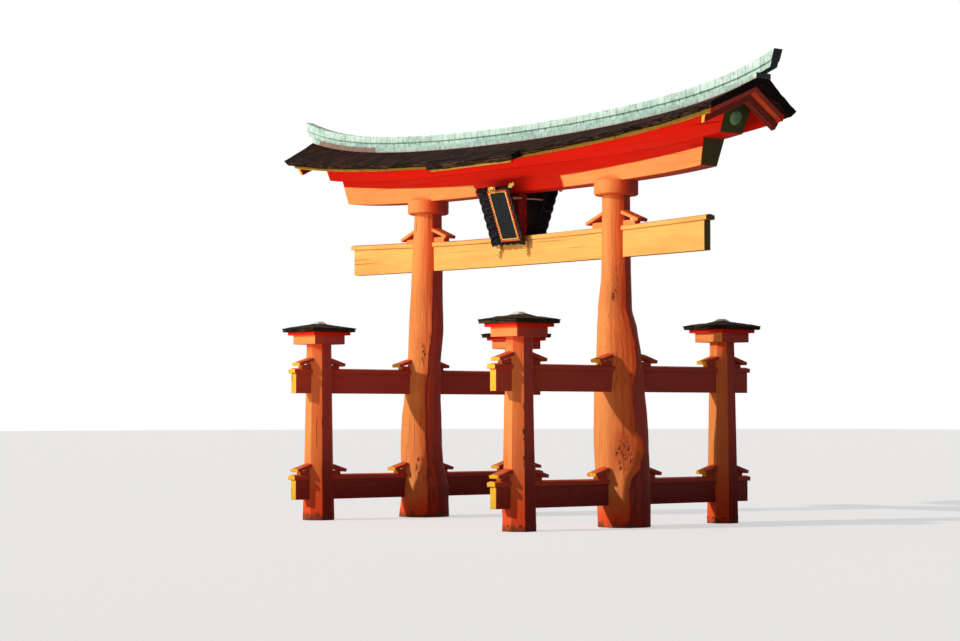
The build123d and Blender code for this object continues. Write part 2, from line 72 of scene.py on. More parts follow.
PORCH_TOP, PORCH_LOW = EAVE_LOW, EAVE_LOW - 0.17
PORCH_STRIP_IN, PORCH_STRIP_OUT = PORCH_LOW_Y - 0.16, PORCH_LOW_Y - 0.04
UPPER_END_X, UPPER_LEAN, UPPER_LIFT = RIDGE_HALF - 1.991, 0.4, 0.333
UPPER_BOTTOM_HALF, UPPER_TOP_HALF = 0.497, 0.59
LOWER_END_X, LOWER_LEAN, LOWER_LIFT = UPPER_END_X - 0.976, 0.277, 0.22
LOWER_BOTTOM_HALF, LOWER_TOP_HALF = 0.363, 0.465
PILLAR_FOOT_X, PILLAR_TOP_X = 5.25, 4.89

# Sections of the trunks: height, drift outwards along X, radius
TRUNK_LEFT = (
    (0, -.17, .895), (.6, -.19, .85), (1.05, -.185, .85), (1.5, -.07, .795), (1.95, .02, .75),
    (2.6, .09, .74), (3.5, .107, .712), (4.2, .088, .655), (5.5, .02, .588), (6.6, -.054, .622),
    (8.3, -.043, .562), (PILLAR_HEIGHT, -.023, .49),
)
TRUNK_RIGHT = (
    (0, .02, .862), (.9, .029, .878), (1.85, .006, .9), (2.7, -.018, .903), (3.5, -.026, .88),
    (4.45, -.06, .836), (5.55, -.03, .74), (6.4, -.076, .655), (7.05, -.155, .556),
    (8.2, -.062, .486), (PILLAR_HEIGHT, .02, .461),
)

# Copper plates of the ridge, and the stretch of its foot that has stayed brown
PLATE_LENGTH, PLATE_HEIGHT = 0.64, 0.25
BARE_STRETCH = (-11.03, -7.5)

SIDES = ("left", "right")
CORNERS = ("front_left", "front_right", "back_left", "back_right")


# Materials

def rgba(value):
    """A colour with its alpha; a socket stays as it is."""
    return (*value, 1) if isinstance(value, tuple) else value


class Nodes:
    """A node tree under construction."""

    def __init__(self, owner):
        owner.use_nodes = True
        self.nodes, self.links = owner.node_tree.nodes, owner.node_tree.links

    def put(self, socket, value):
        if isinstance(value, bpy.types.NodeSocket):
            self.links.new(value, socket)
        elif value is not None:
            socket.default_value = value

    def add(self, kind, inputs):
        """A new node, with values or sockets put into its inputs."""
        node = self.nodes.new(kind)
        for key, value in inputs.items():
            self.put(node.inputs[key], value)
        return node

    def math(self, operation, a, b=None):
        node = self.add("ShaderNodeMath", {0: a, 1: b})
        node.operation = operation
        return node.outputs[0]

    def times(self, a, b):
        return self.math("MULTIPLY", a, b)


class Shader(Nodes):
    """A material under construction: its methods add nodes and return an output."""

    def __init__(self, name, roughness, metallic=0, specular=0.4):
        self.material = bpy.data.materials.new(name)
        super().__init__(self.material)
        self.surface = self.nodes["Principled BSDF"]
        self.surface.inputs["Roughness"].default_value = roughness
        self.surface.inputs["Metallic"].default_value = metallic
        self.surface.inputs["Specular IOR Level"].default_value = specular
        self.place = self.nodes.new("ShaderNodeTexCoord").outputs["Object"]
        self.normal = self.nodes.new("ShaderNodeNewGeometry").outputs["Normal"]

    def scaled(self, scale, offset=(0, 0, 0)):
        node = self.add("ShaderNodeMapping", {"Vector": self.place, "Scale": scale, "Location": offset})
        return node.outputs["Vector"]

    def noise(self, vector, scale=1, detail=4, roughness=0.55, distortion=0):
        node = self.add("ShaderNodeTexNoise", {"Vector": vector, "Scale": scale, "Detail": detail,
                                               "Roughness": roughness, "Distortion": distortion})
        return node.outputs["Fac"]

    def near(self, place, size):
        """1 at a place, falling to 0 at `size` from it along each axis."""
        offset = [-p / v for p, v in zip(place, size)]
        length = self.add("ShaderNodeVectorMath", {0: self.scaled([1 / v for v in size], offset)})
        length.operation = "LENGTH"
        return self.math("SUBTRACT", 1, length.outputs["Value"])

    def facing(self, direction):
        """How squarely the surface faces a direction, from -1 to 1."""
        node = self.add("ShaderNodeVectorMath", {0: self.normal, 1: direction})
        node.operation = "DOT_PRODUCT"
        return node.outputs["Value"]

    def part(self, vector, axis):
        return self.add("ShaderNodeSeparateXYZ", {0: vector}).outputs[axis]

    def ramp(self, value, low, high, out_low=0, out_high=1):
        """Straight ramp of value from low..high to out_low..out_high, held at its ends."""
        node = self.add("ShaderNodeMapRange", {"Value": value, "From Min": low, "From Max": high,
                                               "To Min": out_low, "To Max": out_high})
        return node.outputs["Result"]

    def wavering(self, value, by, scale, detail=4):
        """A value made uneven by noise, by up to `by` either way."""
        return self.math("ADD", value, self.ramp(self.noise(self.place, scale, detail), 0.3, 0.7, -by, by))

    def mix(self, factor, a, b):
        node = self.nodes.new("ShaderNodeMix")
        node.data_type = "RGBA"
        self.put(node.inputs["Factor"], factor)
        self.put(node.inputs[6], rgba(a))
        self.put(node.inputs[7], rgba(b))
        return node.outputs[2]

    def bump(self, height, strength, distance, below=None):
        node = self.add("ShaderNodeBump", {"Strength": strength, "Distance": distance, "Height": height,
                                           "Normal": below})
        return node.outputs["Normal"]

    def finish(self, color, normal=None, roughness=None):
        self.put(self.surface.inputs["Base Color"], rgba(color))
        self.put(self.surface.inputs["Normal"], normal)
        self.put(self.surface.inputs["Roughness"], roughness)
        return self.material


def along(axis, run, across):
    """Scale of a pattern drawn out along one axis: `run` along it and `across` over it."""
    return tuple(run if a == axis else across for a in "XYZ")


# Vermilion paint, by what sun, rain and tide have made of it, with painted sunlight and painted shade
FRESH = (0.84, 0.085, 0.02)
FADED = (0.88, 0.125, 0.026)
# Sun-side colours: sun bleaching and painted sunlight together
SUN_BLEACHED_AND_LIT = (0.95, 0.365, 0.095)
TIE_SUN_BLEACHED_AND_LIT = (0.91, 0.565, 0.145)
LINTEL_SUN_BLEACHED_AND_LIT = (0.9, 0.365, 0.1)
# Painted shade: darker red for gable faces that turn to the sun, which the roof shades
GABLE_PAINTED_SHADE = (0.6, 0.045, 0.016)
# Painted shade: dark red for sides that face away from the key lamp
PAINTED_SHADE_RED = (0.5, 0.068, 0.052)
DEEP = (0.26, 0.03, 0.014)
SHELTERED = (0.95, 0.014, 0.001)
SHELTERED_STREAK = (0.86, 0.018, 0.003)
UNDER_CROWN = (0.92, 0.085, 0.03)
# Low paint by the water: its red, and a painted shade of it for the shaded side
LOW_PAINT_RED = (0.94, 0.055, 0.01)
LOW_RED_PAINTED_SHADE = (0.3, 0.02, 0.012)
# Painted shade: dark colour for shaded sides near the water
LOW_PAINTED_SHADE = (0.13, 0.018, 0.016)
CRACK = (0.045, 0.01, 0.006)
BARE_WOOD = (0.34, 0.17, 0.09)
SCAR_WOOD = (0.66, 0.13, 0.04)
SCAR_HOLE = (0.03, 0.008, 0.005)
ALGAE = (0.1, 0.06, 0.025)
# Direction of the key lamp's sun: faces that turn to it get painted sunlight
SUNWARD = (-0.3, -0.95, 0.1)

# Fresh red on the lower lintel, a painted shadow of the eaves and the porch that also stands for
# paint they keep from the sun: above a line that bends up towards both ends, and on the stretch
# under the porch, which has slanting ends
SHADE_Z, SHADE_RISE, SHADE_SHIFT, SHADE_SOFT = 11.53, 0.0053, 0.38, 0.012
PORCH_SHADE_X, PORCH_SHADE_HALF, PORCH_SHADE_SLANT, PORCH_SHADE_SOFT = 0.51, 2.24, 0.32, 0.02


def painted_eave_shadow(m):
    """1 on the lower lintel where the eaves and the porch keep sun and rain off its paint, laid out
    as their painted shadow.
    """
    x, z = m.part(m.place, "X"), m.part(m.place, "Z")
    across = m.math("POWER", m.math("ABSOLUTE", m.math("SUBTRACT", x, SHADE_SHIFT)), 2)
    above = m.math("SUBTRACT", z, m.times(across, SHADE_RISE))
    eave = m.ramp(above, SHADE_Z - SHADE_SOFT, SHADE_Z + SHADE_SOFT)
    slant = m.times(m.math("SUBTRACT", z, LOWER_BOTTOM), PORCH_SHADE_SLANT)
    off = m.math("ABSOLUTE", m.math("SUBTRACT", m.math("ADD", x, slant), PORCH_SHADE_X))
    porch = m.ramp(off, PORCH_SHADE_HALF + PORCH_SHADE_SOFT, PORCH_SHADE_HALF - PORCH_SHADE_SOFT)
    return m.math("MAXIMUM", eave, porch)


def painted_wood(name, axis, sun=SUN_BLEACHED_AND_LIT, wear=0.5, rough=0.008, tide=None, crown=None,
                 shelter=None, scars=()):
    """Vermilion paint on timber whose grain runs along `axis`. Where it faces the key lamp's sun it
    turns to `sun`, partly sun bleaching and partly painted sunlight; where it faces away it is dark
    red, painted shade. It checks along the grain and reddens towards the water below the height
    `tide`, where its shaded side darkens, painted shade again, and it darkens at the water's edge.
    Just below the height `crown`, under a capital, it is redder. `shelter` gives the share that has
    kept its fresh red, on the lower lintel laid out as the eaves' painted shadow, or is True for all
    of it. `scars` are places and sizes of open wood."""
    m = Shader(name, roughness=0.58, specular=0.12)
    grain = m.noise(m.scaled(along(axis, 0.5, 17)), 1.6, 6, 0.65, 0.3)
    streak = m.noise(m.scaled(along(axis, 0.22, 6)), 1.2, 3, 0.5)
    check = m.noise(m.scaled(along(axis, 0.16, 21), (3.1, 7.7, 1.9)), 1, 3, 0.5, 0.15)
    cracks = m.ramp(check, 0.335, 0.285)
    height = m.part(m.place, "Z")
    # How squarely the surface faces the key lamp's sun, for painted sunlight and painted shade
    facing_key_light = m.facing(SUNWARD)
    # Share of painted shade, growing as the surface turns away from the key lamp
    painted_shade_side = m.ramp(facing_key_light, 0.08, -0.26)
    kept_red = m.mix(m.ramp(streak, 0.3, 0.7), SHELTERED, SHELTERED_STREAK)
    if shelter is True:
        color = kept_red
    else:
        color = m.mix(m.ramp(m.noise(m.place, 0.55, 3), 0.35, 0.68), FRESH, FADED)
        patchy = m.ramp(m.noise(m.scaled(along(axis, 0.35, 1.6)), 1.3, 5, 0.62), 0.25, 0.62, 0.68, 1)
        # Painted sunlight, with sun bleaching, on the side facing the key lamp
        color = m.mix(m.times(m.ramp(facing_key_light, 0.15, 0.88), patchy), color, sun)
        if crown:
            under = m.wavering(height, 0.1, 4)
            color = m.mix(m.ramp(under, crown - 0.45, crown, 0, 0.75), color, UNDER_CROWN)
        # Painted shade on the side facing away from the key lamp
        color = m.mix(m.times(painted_shade_side, 0.93), color, PAINTED_SHADE_RED)
        if shelter:
            # Fresh red where sheltered; on the lower lintel this is a painted shadow
            color = m.mix(shelter(m), color, kept_red)
        color = m.mix(m.ramp(grain, 0.3, 0.75, 0, 0.24), color, DEEP)
    color = m.mix(m.ramp(streak, 0.58, 0.8, 0, 0.18 * wear), color, BARE_WOOD)
    color = m.mix(m.times(cracks, 0.75), color, CRACK)
    relief = m.math("ADD", m.times(grain, 0.6), m.times(cracks, -1.3))
    if tide:
        edge = m.wavering(height, 0.16, 3)
        # Painted shade, darkening the shaded side towards the water
        color = m.mix(m.times(painted_shade_side, m.ramp(edge, 3, 0.8, 0, 0.86)), color, LOW_PAINTED_SHADE)
        # Red low paint, with painted shade on its shaded side
        low_red_lit_and_shaded = m.mix(painted_shade_side, LOW_PAINT_RED, LOW_RED_PAINTED_SHADE)
        color = m.mix(m.ramp(edge, tide, 0.28 * tide, 0, 0.8), color, low_red_lit_and_shaded)
        color = m.mix(m.ramp(edge, 0.22, 0, 0, 0.85), color, ALGAE)
    for place, size in scars:
        uneven = m.ramp(m.noise(m.place, 3.5, 6, 0.7), 0.2, 0.8, -0.35, 0.35)
        open_wood = m.ramp(m.math("ADD", m.near(place, size), uneven), 0.15, 0.35)
        pits = m.ramp(m.noise(m.scaled((9, 9, 5)), 1, 5, 0.6, 0.8), 0.455, 0.4)
        holes = m.times(open_wood, pits)
        color = m.mix(m.times(open_wood, 0.35), color, SCAR_WOOD)
        color = m.mix(m.times(holes, 0.9), color, SCAR_HOLE)
        relief = m.math("ADD", relief, m.times(holes, -4))
    normal = m.bump(relief, 0.6, rough)
    normal = m.bump(m.noise(m.place, 38, 3), 0.12, 0.003, normal)
    return m.finish(color, normal, m.ramp(grain, 0.2, 0.8, 0.5, 0.74))


def end_paint(name, paint, edge, streaks=0.75):
    """Paint on end grain, with radial checks and weathered streaks."""
    m = Shader(name, roughness=0.62, specular=0.2)
    stain, check_color = (0.16, 0.07, 0.02), (0.03, 0.018, 0.008)
    blot = m.noise(m.place, 5.5, 5, 0.6)
    color = m.mix(m.ramp(blot, 0.38, 0.7), paint, edge)
    vertical = m.noise(m.scaled((9, 9, 1.1)), 1.2, 5, 0.6, 0.5)
    color = m.mix(m.ramp(vertical, 0.56, 0.72, 0, streaks), color, stain)
    check = m.ramp(m.noise(m.scaled((14, 14, 0.8), (4, 1, 7)), 1, 4, 0.5, 0.4), 0.35, 0.3)
    color = m.mix(m.times(check, 0.8), color, check_color)
    return m.finish(color, m.bump(m.math("SUBTRACT", blot, check), 0.4, 0.006))


def patina(name, tints=((0.36, 0.57, 0.49), (0.53, 0.75, 0.67)), bare=None):
    """Copper under green patina, in plates with their own tints and rain streaks. `bare` is a
    stretch along X that has stayed brown."""
    m = Shader(name, roughness=0.6, specular=0.3)
    dark, pale = tints
    darker = tuple(0.45 * v for v in dark)
    lighter = tuple(min(1, 1.16 * v) for v in pale)
    # Pale patina spots, partly painted highlights
    spot_and_highlight_color = tuple(min(0.86, 1.5 * v) for v in pale)
    brown, dark_brown = (0.38, 0.25, 0.19), (0.24, 0.16, 0.12)

    x = m.part(m.place, "X")
    column = m.math("FLOOR", m.math("DIVIDE", x, PLATE_LENGTH))
    row = m.math("FLOOR", m.math("DIVIDE", m.part(m.place, "Z"), PLATE_HEIGHT))
    index = m.add("ShaderNodeCombineXYZ", {0: column, 1: row})
    plate = m.add("ShaderNodeTexWhiteNoise", {"Vector": index.outputs[0]})
    plate.noise_dimensions = "2D"
    color = m.mix(plate.outputs["Value"], dark, pale)
    cloud = m.noise(m.place, 2.3, 6, 0.65)
    color = m.mix(m.ramp(cloud, 0.42, 0.66), color, lighter)
    drip = m.noise(m.scaled((11, 11, 5.5)), 1, 5, 0.7)
    color = m.mix(m.ramp(drip, 0.54, 0.68, 0, 0.8), color, darker)
    # Pale mottling: weathered patina and painted highlights
    pale_spots_and_highlights = m.noise(m.scaled((9, 9, 5), (5, 2, 8)), 1, 4, 0.6)
    color = m.mix(m.ramp(pale_spots_and_highlights, 0.55, 0.66, 0, 0.8), color, spot_and_highlight_color)
    rust = m.noise(m.place, 6, 5, 0.7)
    color = m.mix(m.ramp(rust, 0.64, 0.78, 0, 0.6), color, darker)
    shifted = m.math("ADD", x, m.ramp(drip, 0.3, 0.7, -0.02, 0.02))
    to_seam = m.math("PINGPONG", shifted, PLATE_LENGTH / 4)
    color = m.mix(m.ramp(to_seam, 0.018, 0.006, 0, 0.45), color, darker)
    if bare:
        edge = m.wavering(x, 0.06, 4, 3)
        past_start = m.ramp(edge, bare[0] - 0.02, bare[0])
        before_end = m.ramp(edge, bare[1], bare[1] - 0.02)
        inside = m.times(past_start, before_end)
        color = m.mix(inside, color, m.mix(m.ramp(drip, 0.4, 0.65), brown, dark_brown))
    return m.finish(color, m.bump(cloud, 0.25, 0.012, m.bump(drip, 0.35, 0.006)))


def bark(name, moss=0.3, moss_color=(0.045, 0.04, 0.02)):
    """Layers of cypress bark, weathered down the slope, with moss on what faces the sky."""
    m = Shader(name, roughness=0.95, specular=0.08)
    black, brown, chip = (0.008, 0.004, 0.003), (0.04, 0.013, 0.008), (0.085, 0.034, 0.021)
    red_run, gap = (0.105, 0.03, 0.018), (0.006, 0.003, 0.003)
    layers = m.noise(m.scaled((0.7, 7, 34)), 1.3, 6, 0.62, 0.25)
    chips = m.noise(m.scaled((7, 12, 30)), 1.6, 6, 0.7)
    color = m.mix(m.ramp(layers, 0.36, 0.66), black, brown)
    color = m.mix(m.ramp(chips, 0.58, 0.74, 0, 0.6), color, chip)
    runs = m.noise(m.scaled((6.5, 0.9, 1.2)), 1, 6, 0.7, 0.4)
    color = m.mix(m.ramp(runs, 0.52, 0.64, 0, 0.75), color, red_run)
    color = m.mix(m.ramp(runs, 0.52, 0.43, 0, 0.9), color, gap)
    up = m.ramp(m.part(m.normal, "Z"), 0.55, 0.97)
    clump = m.ramp(m.noise(m.place, 2.2, 8, 0.72), 0.62 - 0.3 * moss, 0.72, 0, 0.9)
    color = m.mix(m.times(up, clump), color, moss_color)
    normal = m.bump(layers, 0.8, 0.02, m.bump(runs, 0.8, 0.06))
    return m.finish(color, m.bump(chips, 0.9, 0.012, normal))


def thatch_edge(name, pale=(0.16, 0.095, 0.055), palest=(0.34, 0.23, 0.15)):
    """Cut edge of the bark roof: thin pale strands between dark layers."""
    m = Shader(name, roughness=0.95, specular=0.06)
    gap = (0.009, 0.006, 0.005)
    strand = m.noise(m.scaled((0.45, 24, 24)), 1.9, 5, 0.6, 0.1)
    color = m.mix(m.ramp(strand, 0.5, 0.64), gap, pale)
    ragged = m.noise(m.scaled((2.2, 20, 20)), 1, 4, 0.7)
    color = m.mix(m.ramp(ragged, 0.6, 0.72, 0, 0.7), color, palest)
    return m.finish(color, m.bump(strand, 1, 0.014))


def lacquer(name, color, roughness=0.4):
    """Plain paint or lacquer, a little dusty."""
    m = Shader(name, roughness=roughness, specular=0.1)
    dusty = tuple(min(1, c * 2.2 + 0.006) for c in color)
    dust = m.noise(m.place, 9, 6, 0.65)
    tint = m.mix(m.ramp(dust, 0.45, 0.75, 0, 0.55), color, dusty)
    return m.finish(tint, m.bump(m.noise(m.place, 30, 4), 0.25, 0.004))


def gilding(name):
    """Gold leaf, worn in places."""
    m = Shader(name, roughness=0.42, metallic=0.6)
    gold, bole = (0.9, 0.62, 0.16), (0.36, 0.2, 0.06)
    worn = m.noise(m.place, 14, 5, 0.6)
    return m.finish(m.mix(m.ramp(worn, 0.5, 0.75, 0, 0.8), gold, bole), m.bump(worn, 0.3, 0.004))


# Places and sizes of open wood in the posts and trunks
POST_SCARS = (
    ((5.79, -4.72, 3.5), (0.1, 0.13, 2.1)), ((5.77, -4.66, 5.6), (0.08, 0.11, 0.7)),
    ((-4.8, -4.7, 3.2), (0.05, 0.07, 0.9)),
)
TRUNK_SCARS = (
    ((5.95, -0.5, 2.3), (0.55, 0.42, 0.72)), ((5.25, -0.4, 7.85), (0.15, 0.2, 0.85)),
    ((-4.62, -0.36, 5.9), (0.1, 0.16, 0.8)), ((-4.65, -0.6, 1.85), (0.2, 0.22, 0.42)),
    ((4.62, 0.75, 1.7), (0.5, 0.36, 0.6)), ((-5.55, 0.62, 3.4), (0.3, 0.28, 0.9)),
)
WOOD = {axis: painted_wood(f"vermilion_{axis}", axis) for axis in "XYZ"}
WOOD_LOW = painted_wood("vermilion_tide", "Y", wear=0.8, tide=1.25)
POST = painted_wood("vermilion_post", "Z", wear=0.8, rough=0.014, tide=2, crown=6, scars=POST_SCARS)
TRUNK = painted_wood("vermilion_trunk", "Z", wear=0.8, rough=0.018, tide=1.15, scars=TRUNK_SCARS)
# Main tie: sun bleaching and painted sunlight on its front
TIE = painted_wood("vermilion_bleached_and_sunlit", "X", TIE_SUN_BLEACHED_AND_LIT, 0.7)
LINTEL = painted_wood("vermilion_lintel", "X", LINTEL_SUN_BLEACHED_AND_LIT, wear=0.6, shelter=painted_eave_shadow)
RED = painted_wood("vermilion_sheltered", "X", shelter=True)
# Gable boards: painted shade in place of sunlit paint
GABLE = painted_wood("vermilion_gable", "Y", GABLE_PAINTED_SHADE)
YELLOW_END = end_paint("yellow_end", (0.94, 0.56, 0.025), (0.9, 0.48, 0.03))
GREEN_END = end_paint("green_end", (0.05, 0.05, 0.01), (0.075, 0.072, 0.02), 0.3)
# Painted shade: yellow board paint darkened to olive for the eaves' shade
YELLOW_PAINTED_SHADE = end_paint("yellow_board_painted_shade", (0.52, 0.31, 0.025), (0.36, 0.22, 0.03), 0.3)
# Painted shade: dark red for the strut in the porch's shade
STRUT_PAINTED_SHADE = lacquer("strut_red_painted_shade", (0.36, 0.026, 0.018), 0.6)
# Painted shade: dark red for the gable's recessed board
PAINTED_SHADE_DARK_RED = lacquer("dark_red_painted_shade", (0.2, 0.03, 0.018), 0.6)
COPPER = patina("patina")
COPPER_BASE = patina("patina_base", bare=BARE_STRETCH)
COPPER_FOOT = patina("patina_foot", ((0.5, 0.34, 0.28), (0.62, 0.5, 0.44)), BARE_STRETCH)
COPPER_SEAM = patina("patina_seam", ((0.1, 0.17, 0.15), (0.2, 0.3, 0.27)))
# Painted shade: near-black copper for the ridge's ends and undersides
COPPER_PAINTED_SHADE = patina("patina_painted_shade", ((0.01, 0.016, 0.022), (0.022, 0.03, 0.036)))
COPPER_DISC = patina("patina_disc", ((0.05, 0.13, 0.055), (0.16, 0.3, 0.15)))
BARK = bark("bark")
MOSSY = bark("bark_mossy", 1, (0.085, 0.09, 0.045))
EDGE = thatch_edge("bark_edge")
# Painted shade: near-black bark for the cut ends at the gables
VERGE_PAINTED_SHADE = thatch_edge("bark_verge_painted_shade", (0.022, 0.018, 0.02), (0.06, 0.035, 0.028))
BLACK = lacquer("black_lacquer", (0.004, 0.0045, 0.006))
SLATE = lacquer("slate_lacquer", (0.012, 0.015, 0.018))
PEWTER = lacquer("carved_relief", (0.034, 0.036, 0.042), 0.45)
RED_LACQUER = lacquer("red_lacquer", (0.45, 0.02, 0.014), 0.5)
CREAM = lacquer("cream_paint", (0.72, 0.62, 0.46), 0.6)
ZINC = lacquer("zinc", (0.9, 0.9, 0.88), 0.45)
IRON = lacquer("iron", (0.05, 0.03, 0.025), 0.6)
GOLD = gilding("gold_leaf")


# Building meshes

SMOOTH_ANGLE, SHARP_ANGLE, FLAT_ANGLE = math.radians(32), math.radians(25), math.radians(0.8)
STATION = 0.1


def add_object(name, data):
    """A new object in the scene."""
    obj = bpy.data.objects.new(name, data)
    scene.collection.objects.link(obj)
    return obj


def piece(name, bm, materials, replaces=()):
    """Turns a bmesh into a piece of the gate that rides on the frame."""
    mesh = bpy.data.meshes.new(name)
    bmesh.ops.recalc_face_normals(bm, faces=bm.faces)
    bm.to_mesh(mesh)
    bm.free()
    for material in materials:
        mesh.materials.append(material)
    mesh.shade_smooth()
    mesh.set_sharp_from_angle(angle=SMOOTH_ANGLE)
    obj = add_object(name, mesh)
    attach(obj, "root")
    if replaces:
        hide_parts(*replaces)


def paint_ends(bm, axis, share=0.8):
    """Gives faces that look along an axis the second of the mesh's materials."""
    direction = Vector([1 if a == axis else 0 for a in "XYZ"])
    for face in bm.faces:
        if abs(face.normal.dot(direction)) > share:
            face.material_index = 1


def soften(bm, width, segments=2):
    """Rounds the sharp edges of a mesh."""
    edges = [e for e in bm.edges if len(e.link_faces) == 2 and e.calc_face_angle() > SHARP_ANGLE]
    bmesh.ops.bevel(bm, geom=edges, offset=width, segments=segments, profile=0.6,
                    affect="EDGES", clamp_overlap=True)


def from_node(node):
    """A clean mesh of one CAD node, its triangles joined into flat faces."""
    bm = bmesh.new()
    bm.from_mesh(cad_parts[node].data)
    bmesh.ops.remove_doubles(bm, verts=bm.verts, dist=1e-5)
    bmesh.ops.dissolve_limit(bm, angle_limit=FLAT_ANGLE, verts=bm.verts, edges=bm.edges)
    for face in bm.faces:
        face.material_index = 0
    bm.normal_update()
    return bm


def dress(node, paint, end=None, axis="Y", width=0.012):
    """A node's own shape with softened edges and painted ends."""
    bm = from_node(node)
    if end:
        paint_ends(bm, axis)
    soften(bm, width)
    piece(f"{node}_wood", bm, [paint] + ([end] if end else []), [node])


def skin(bm, rings, index=0, closed=False):
    """Joins rings of vertices, each a cross-section, into a body, or into a closed band."""
    following = rings[1:] + rings[:1] if closed else rings[1:]
    for ring, after in zip(rings, following):
        for i in range(len(ring)):
            j = (i + 1) % len(ring)
            bm.faces.new((ring[i], ring[j], after[j], after[i])).material_index = index
    if not closed:
        for end in (rings[0], rings[-1]):
            bm.faces.new(end).material_index = index


def angles(count):
    """Equally spaced angles round a circle."""
    return [math.tau * i / count for i in range(count)]


def spaced(low, high, step):
    count = max(2, round((high - low) / step))
    return [low + (high - low) * i / count for i in range(count + 1)]


SPAN = spaced(-RIDGE_HALF - 0.06, RIDGE_HALF + 0.06, 2 * STATION)


def loft(outline, stations=SPAN, bm=None):
    """Closed member through outlines at stations along X; `outline` gives (y, z) at x."""
    bm = bm or bmesh.new()
    skin(bm, [[bm.verts.new((x, y, z)) for y, z in outline(x)] for x in stations])
    bmesh.ops.recalc_face_normals(bm, faces=bm.faces)
    return bm


def loft_pair(outline, stations=SPAN, bm=None):
    """Two closed members, mirror images across the gate's middle."""
    bm = bm or bmesh.new()
    for way in (-1, 1):
        loft(lambda x: [(way * y, z) for y, z in outline(x)], stations, bm)
    return bm


def mirrored(outline):
    return outline + [(-y, z) for y, z in reversed(outline) if y > 0]


def roughen(bm, amount, scale, keep=None):
    """Pushes vertices along their normals by smooth noise."""
    bm.normal_update()
    for vert in bm.verts:
        if keep is None or keep(vert):
            place = Vector((vert.co[i] * scale[i] for i in range(3)))
            vert.co += vert.normal * amount * noise.noise(place)


def trim_both(bm, x, z, lean):
    """Cuts off what lies beyond outward leaning planes through (x, z) and (-x, z), and closes it."""
    for way in (-1, 1):
        cut = bmesh.ops.bisect_plane(bm, geom=bm.verts[:] + bm.edges[:] + bm.faces[:],
                                     plane_co=(way * x, 0, z), plane_no=(way, 0, -lean), clear_outer=True)
        rim = [e for e in cut["geom_cut"] if isinstance(e, bmesh.types.BMEdge)]
        bmesh.ops.holes_fill(bm, edges=rim, sides=0)
        bmesh.ops.recalc_face_normals(bm, faces=bm.faces)


# Curves of the roof

def rise(x, gentle=SWEEP_GENTLE, sharp=SWEEP_SHARP):
    t = x / RIDGE_HALF
    return gentle * t**2 + sharp * t**6


def ridge_foot(x):
    return RIDGE_FOOT + RIDGE_FOOT_SHARE * rise(x)


def ridge_top(x):
    return RIDGE_TOP + rise(x)


def base_top(x):
    return ridge_foot(x) + RIDGE_BASE_HEIGHT


def body_top(x):
    return base_top(x) + RIDGE_BODY_HEIGHT


def cap_low(x):
    return base_top(x) + RIDGE_CAP_LOW


def eave_low(x):
    return EAVE_LOW + rise(x, EAVE_GENTLE, EAVE_SHARP)


def underside(x, y):
    apex = ridge_foot(x) - BARK_CENTRE
    return apex + (eave_low(x) - apex) * abs(y) / EAVE_LOW_HALF


def strip_low(x):
    return STRIP_LOW + rise(x, STRIP_GENTLE, STRIP_SHARP)


def lintel_joint(x):
    return UPPER_BOTTOM + (x / UPPER_END_X) ** 4 * UPPER_LIFT


VERGE_Z = eave_low(VERGE_X) + EAVE_EDGE


# Bark roof

BARK_LAYERS, BARK_NOTCH = 4, 0.014
SLOPE_STEPS, CUT_EDGE_Y = 9, 1.7


def layered(low, high):
    """Points up a cut edge of bark between (y, z) places, each layer stepping back a little."""
    points = []
    for i in range(BARK_LAYERS):
        for up, back in ((0, 0), (0.82, 0), (0.86, BARK_NOTCH)):
            y, z = (a + (b - a) * (i + up) / BARK_LAYERS for a, b in zip(low, high))
            points.append((y - back, z))
    return points + [high]


def bark_outline(x):
    eave, top = (EAVE_LOW_HALF, eave_low(x)), (EAVE_TOP_HALF, eave_low(x) + EAVE_EDGE)
    foot = (RIDGE_BASE_HALF, ridge_foot(x))
    slope = [tuple(a + (b - a) * i / SLOPE_STEPS for a, b in zip(top, foot))
             for i in range(1, SLOPE_STEPS + 1)]
    return mirrored([(0, underside(x, 0))] + layered(eave, top) + slope)


def bark_cover():
    """The bark over roof and porches."""
    bm = loft(bark_outline, spaced(-RIDGE_HALF, RIDGE_HALF, STATION))
    trim_both(bm, VERGE_X, VERGE_Z, VERGE_LEAN)
    roof_top = EAVE_LOW + EAVE_EDGE
    porch = [(STRIP_OUT, underside(0, STRIP_OUT))]
    porch += layered((PORCH_LOW_Y, PORCH_LOW), (PORCH_TOP_Y, PORCH_TOP))
    porch += [(EAVE_TOP_HALF + (1 - t) * (PORCH_TOP_Y - EAVE_TOP_HALF),
               PORCH_TOP + t * (roof_top - PORCH_TOP)) for t in (1 / 3, 2 / 3, 1)]
    porch += [(STRIP_OUT, roof_top)]
    loft_pair(lambda x: porch, spaced(-PORCH_HALF, PORCH_HALF, STATION), bm)
    for face in bm.faces:
        at_eave = abs(face.calc_center_median().y) > CUT_EDGE_Y and face.normal.z < 0.55
        # Cut ends at the gables get painted shade
        face.material_index = 2 if abs(face.normal.x) > 0.6 else 1 if at_eave else 0
    roughen(bm, 0.022, (1.6, 3, 5), lambda v: abs(v.co.y) > RIDGE_BASE_HALF + 0.05)
    piece("bark_cover", bm, [BARK, EDGE, VERGE_PAINTED_SHADE], ["bark_roof"])


bark_cover()


# Copper ridge

SEAM_HALF, SEAM_RISE = 0.035, 0.014
COURSE_INSET, COURSE_FOOT, COURSE_STEP, COURSE_LIP = 0.006, 0.03, 0.005, 0.012
# Stations beside every seam of either row of plates, to past the ridge's ends, and between them
SEAMS = 41
PLATE_STATIONS = [(i / 2 + share) * PLATE_LENGTH for i in range(-SEAMS, SEAMS + 1)
                  for share in (-0.05, -0.03, 0.03, 0.05, 0.25)]


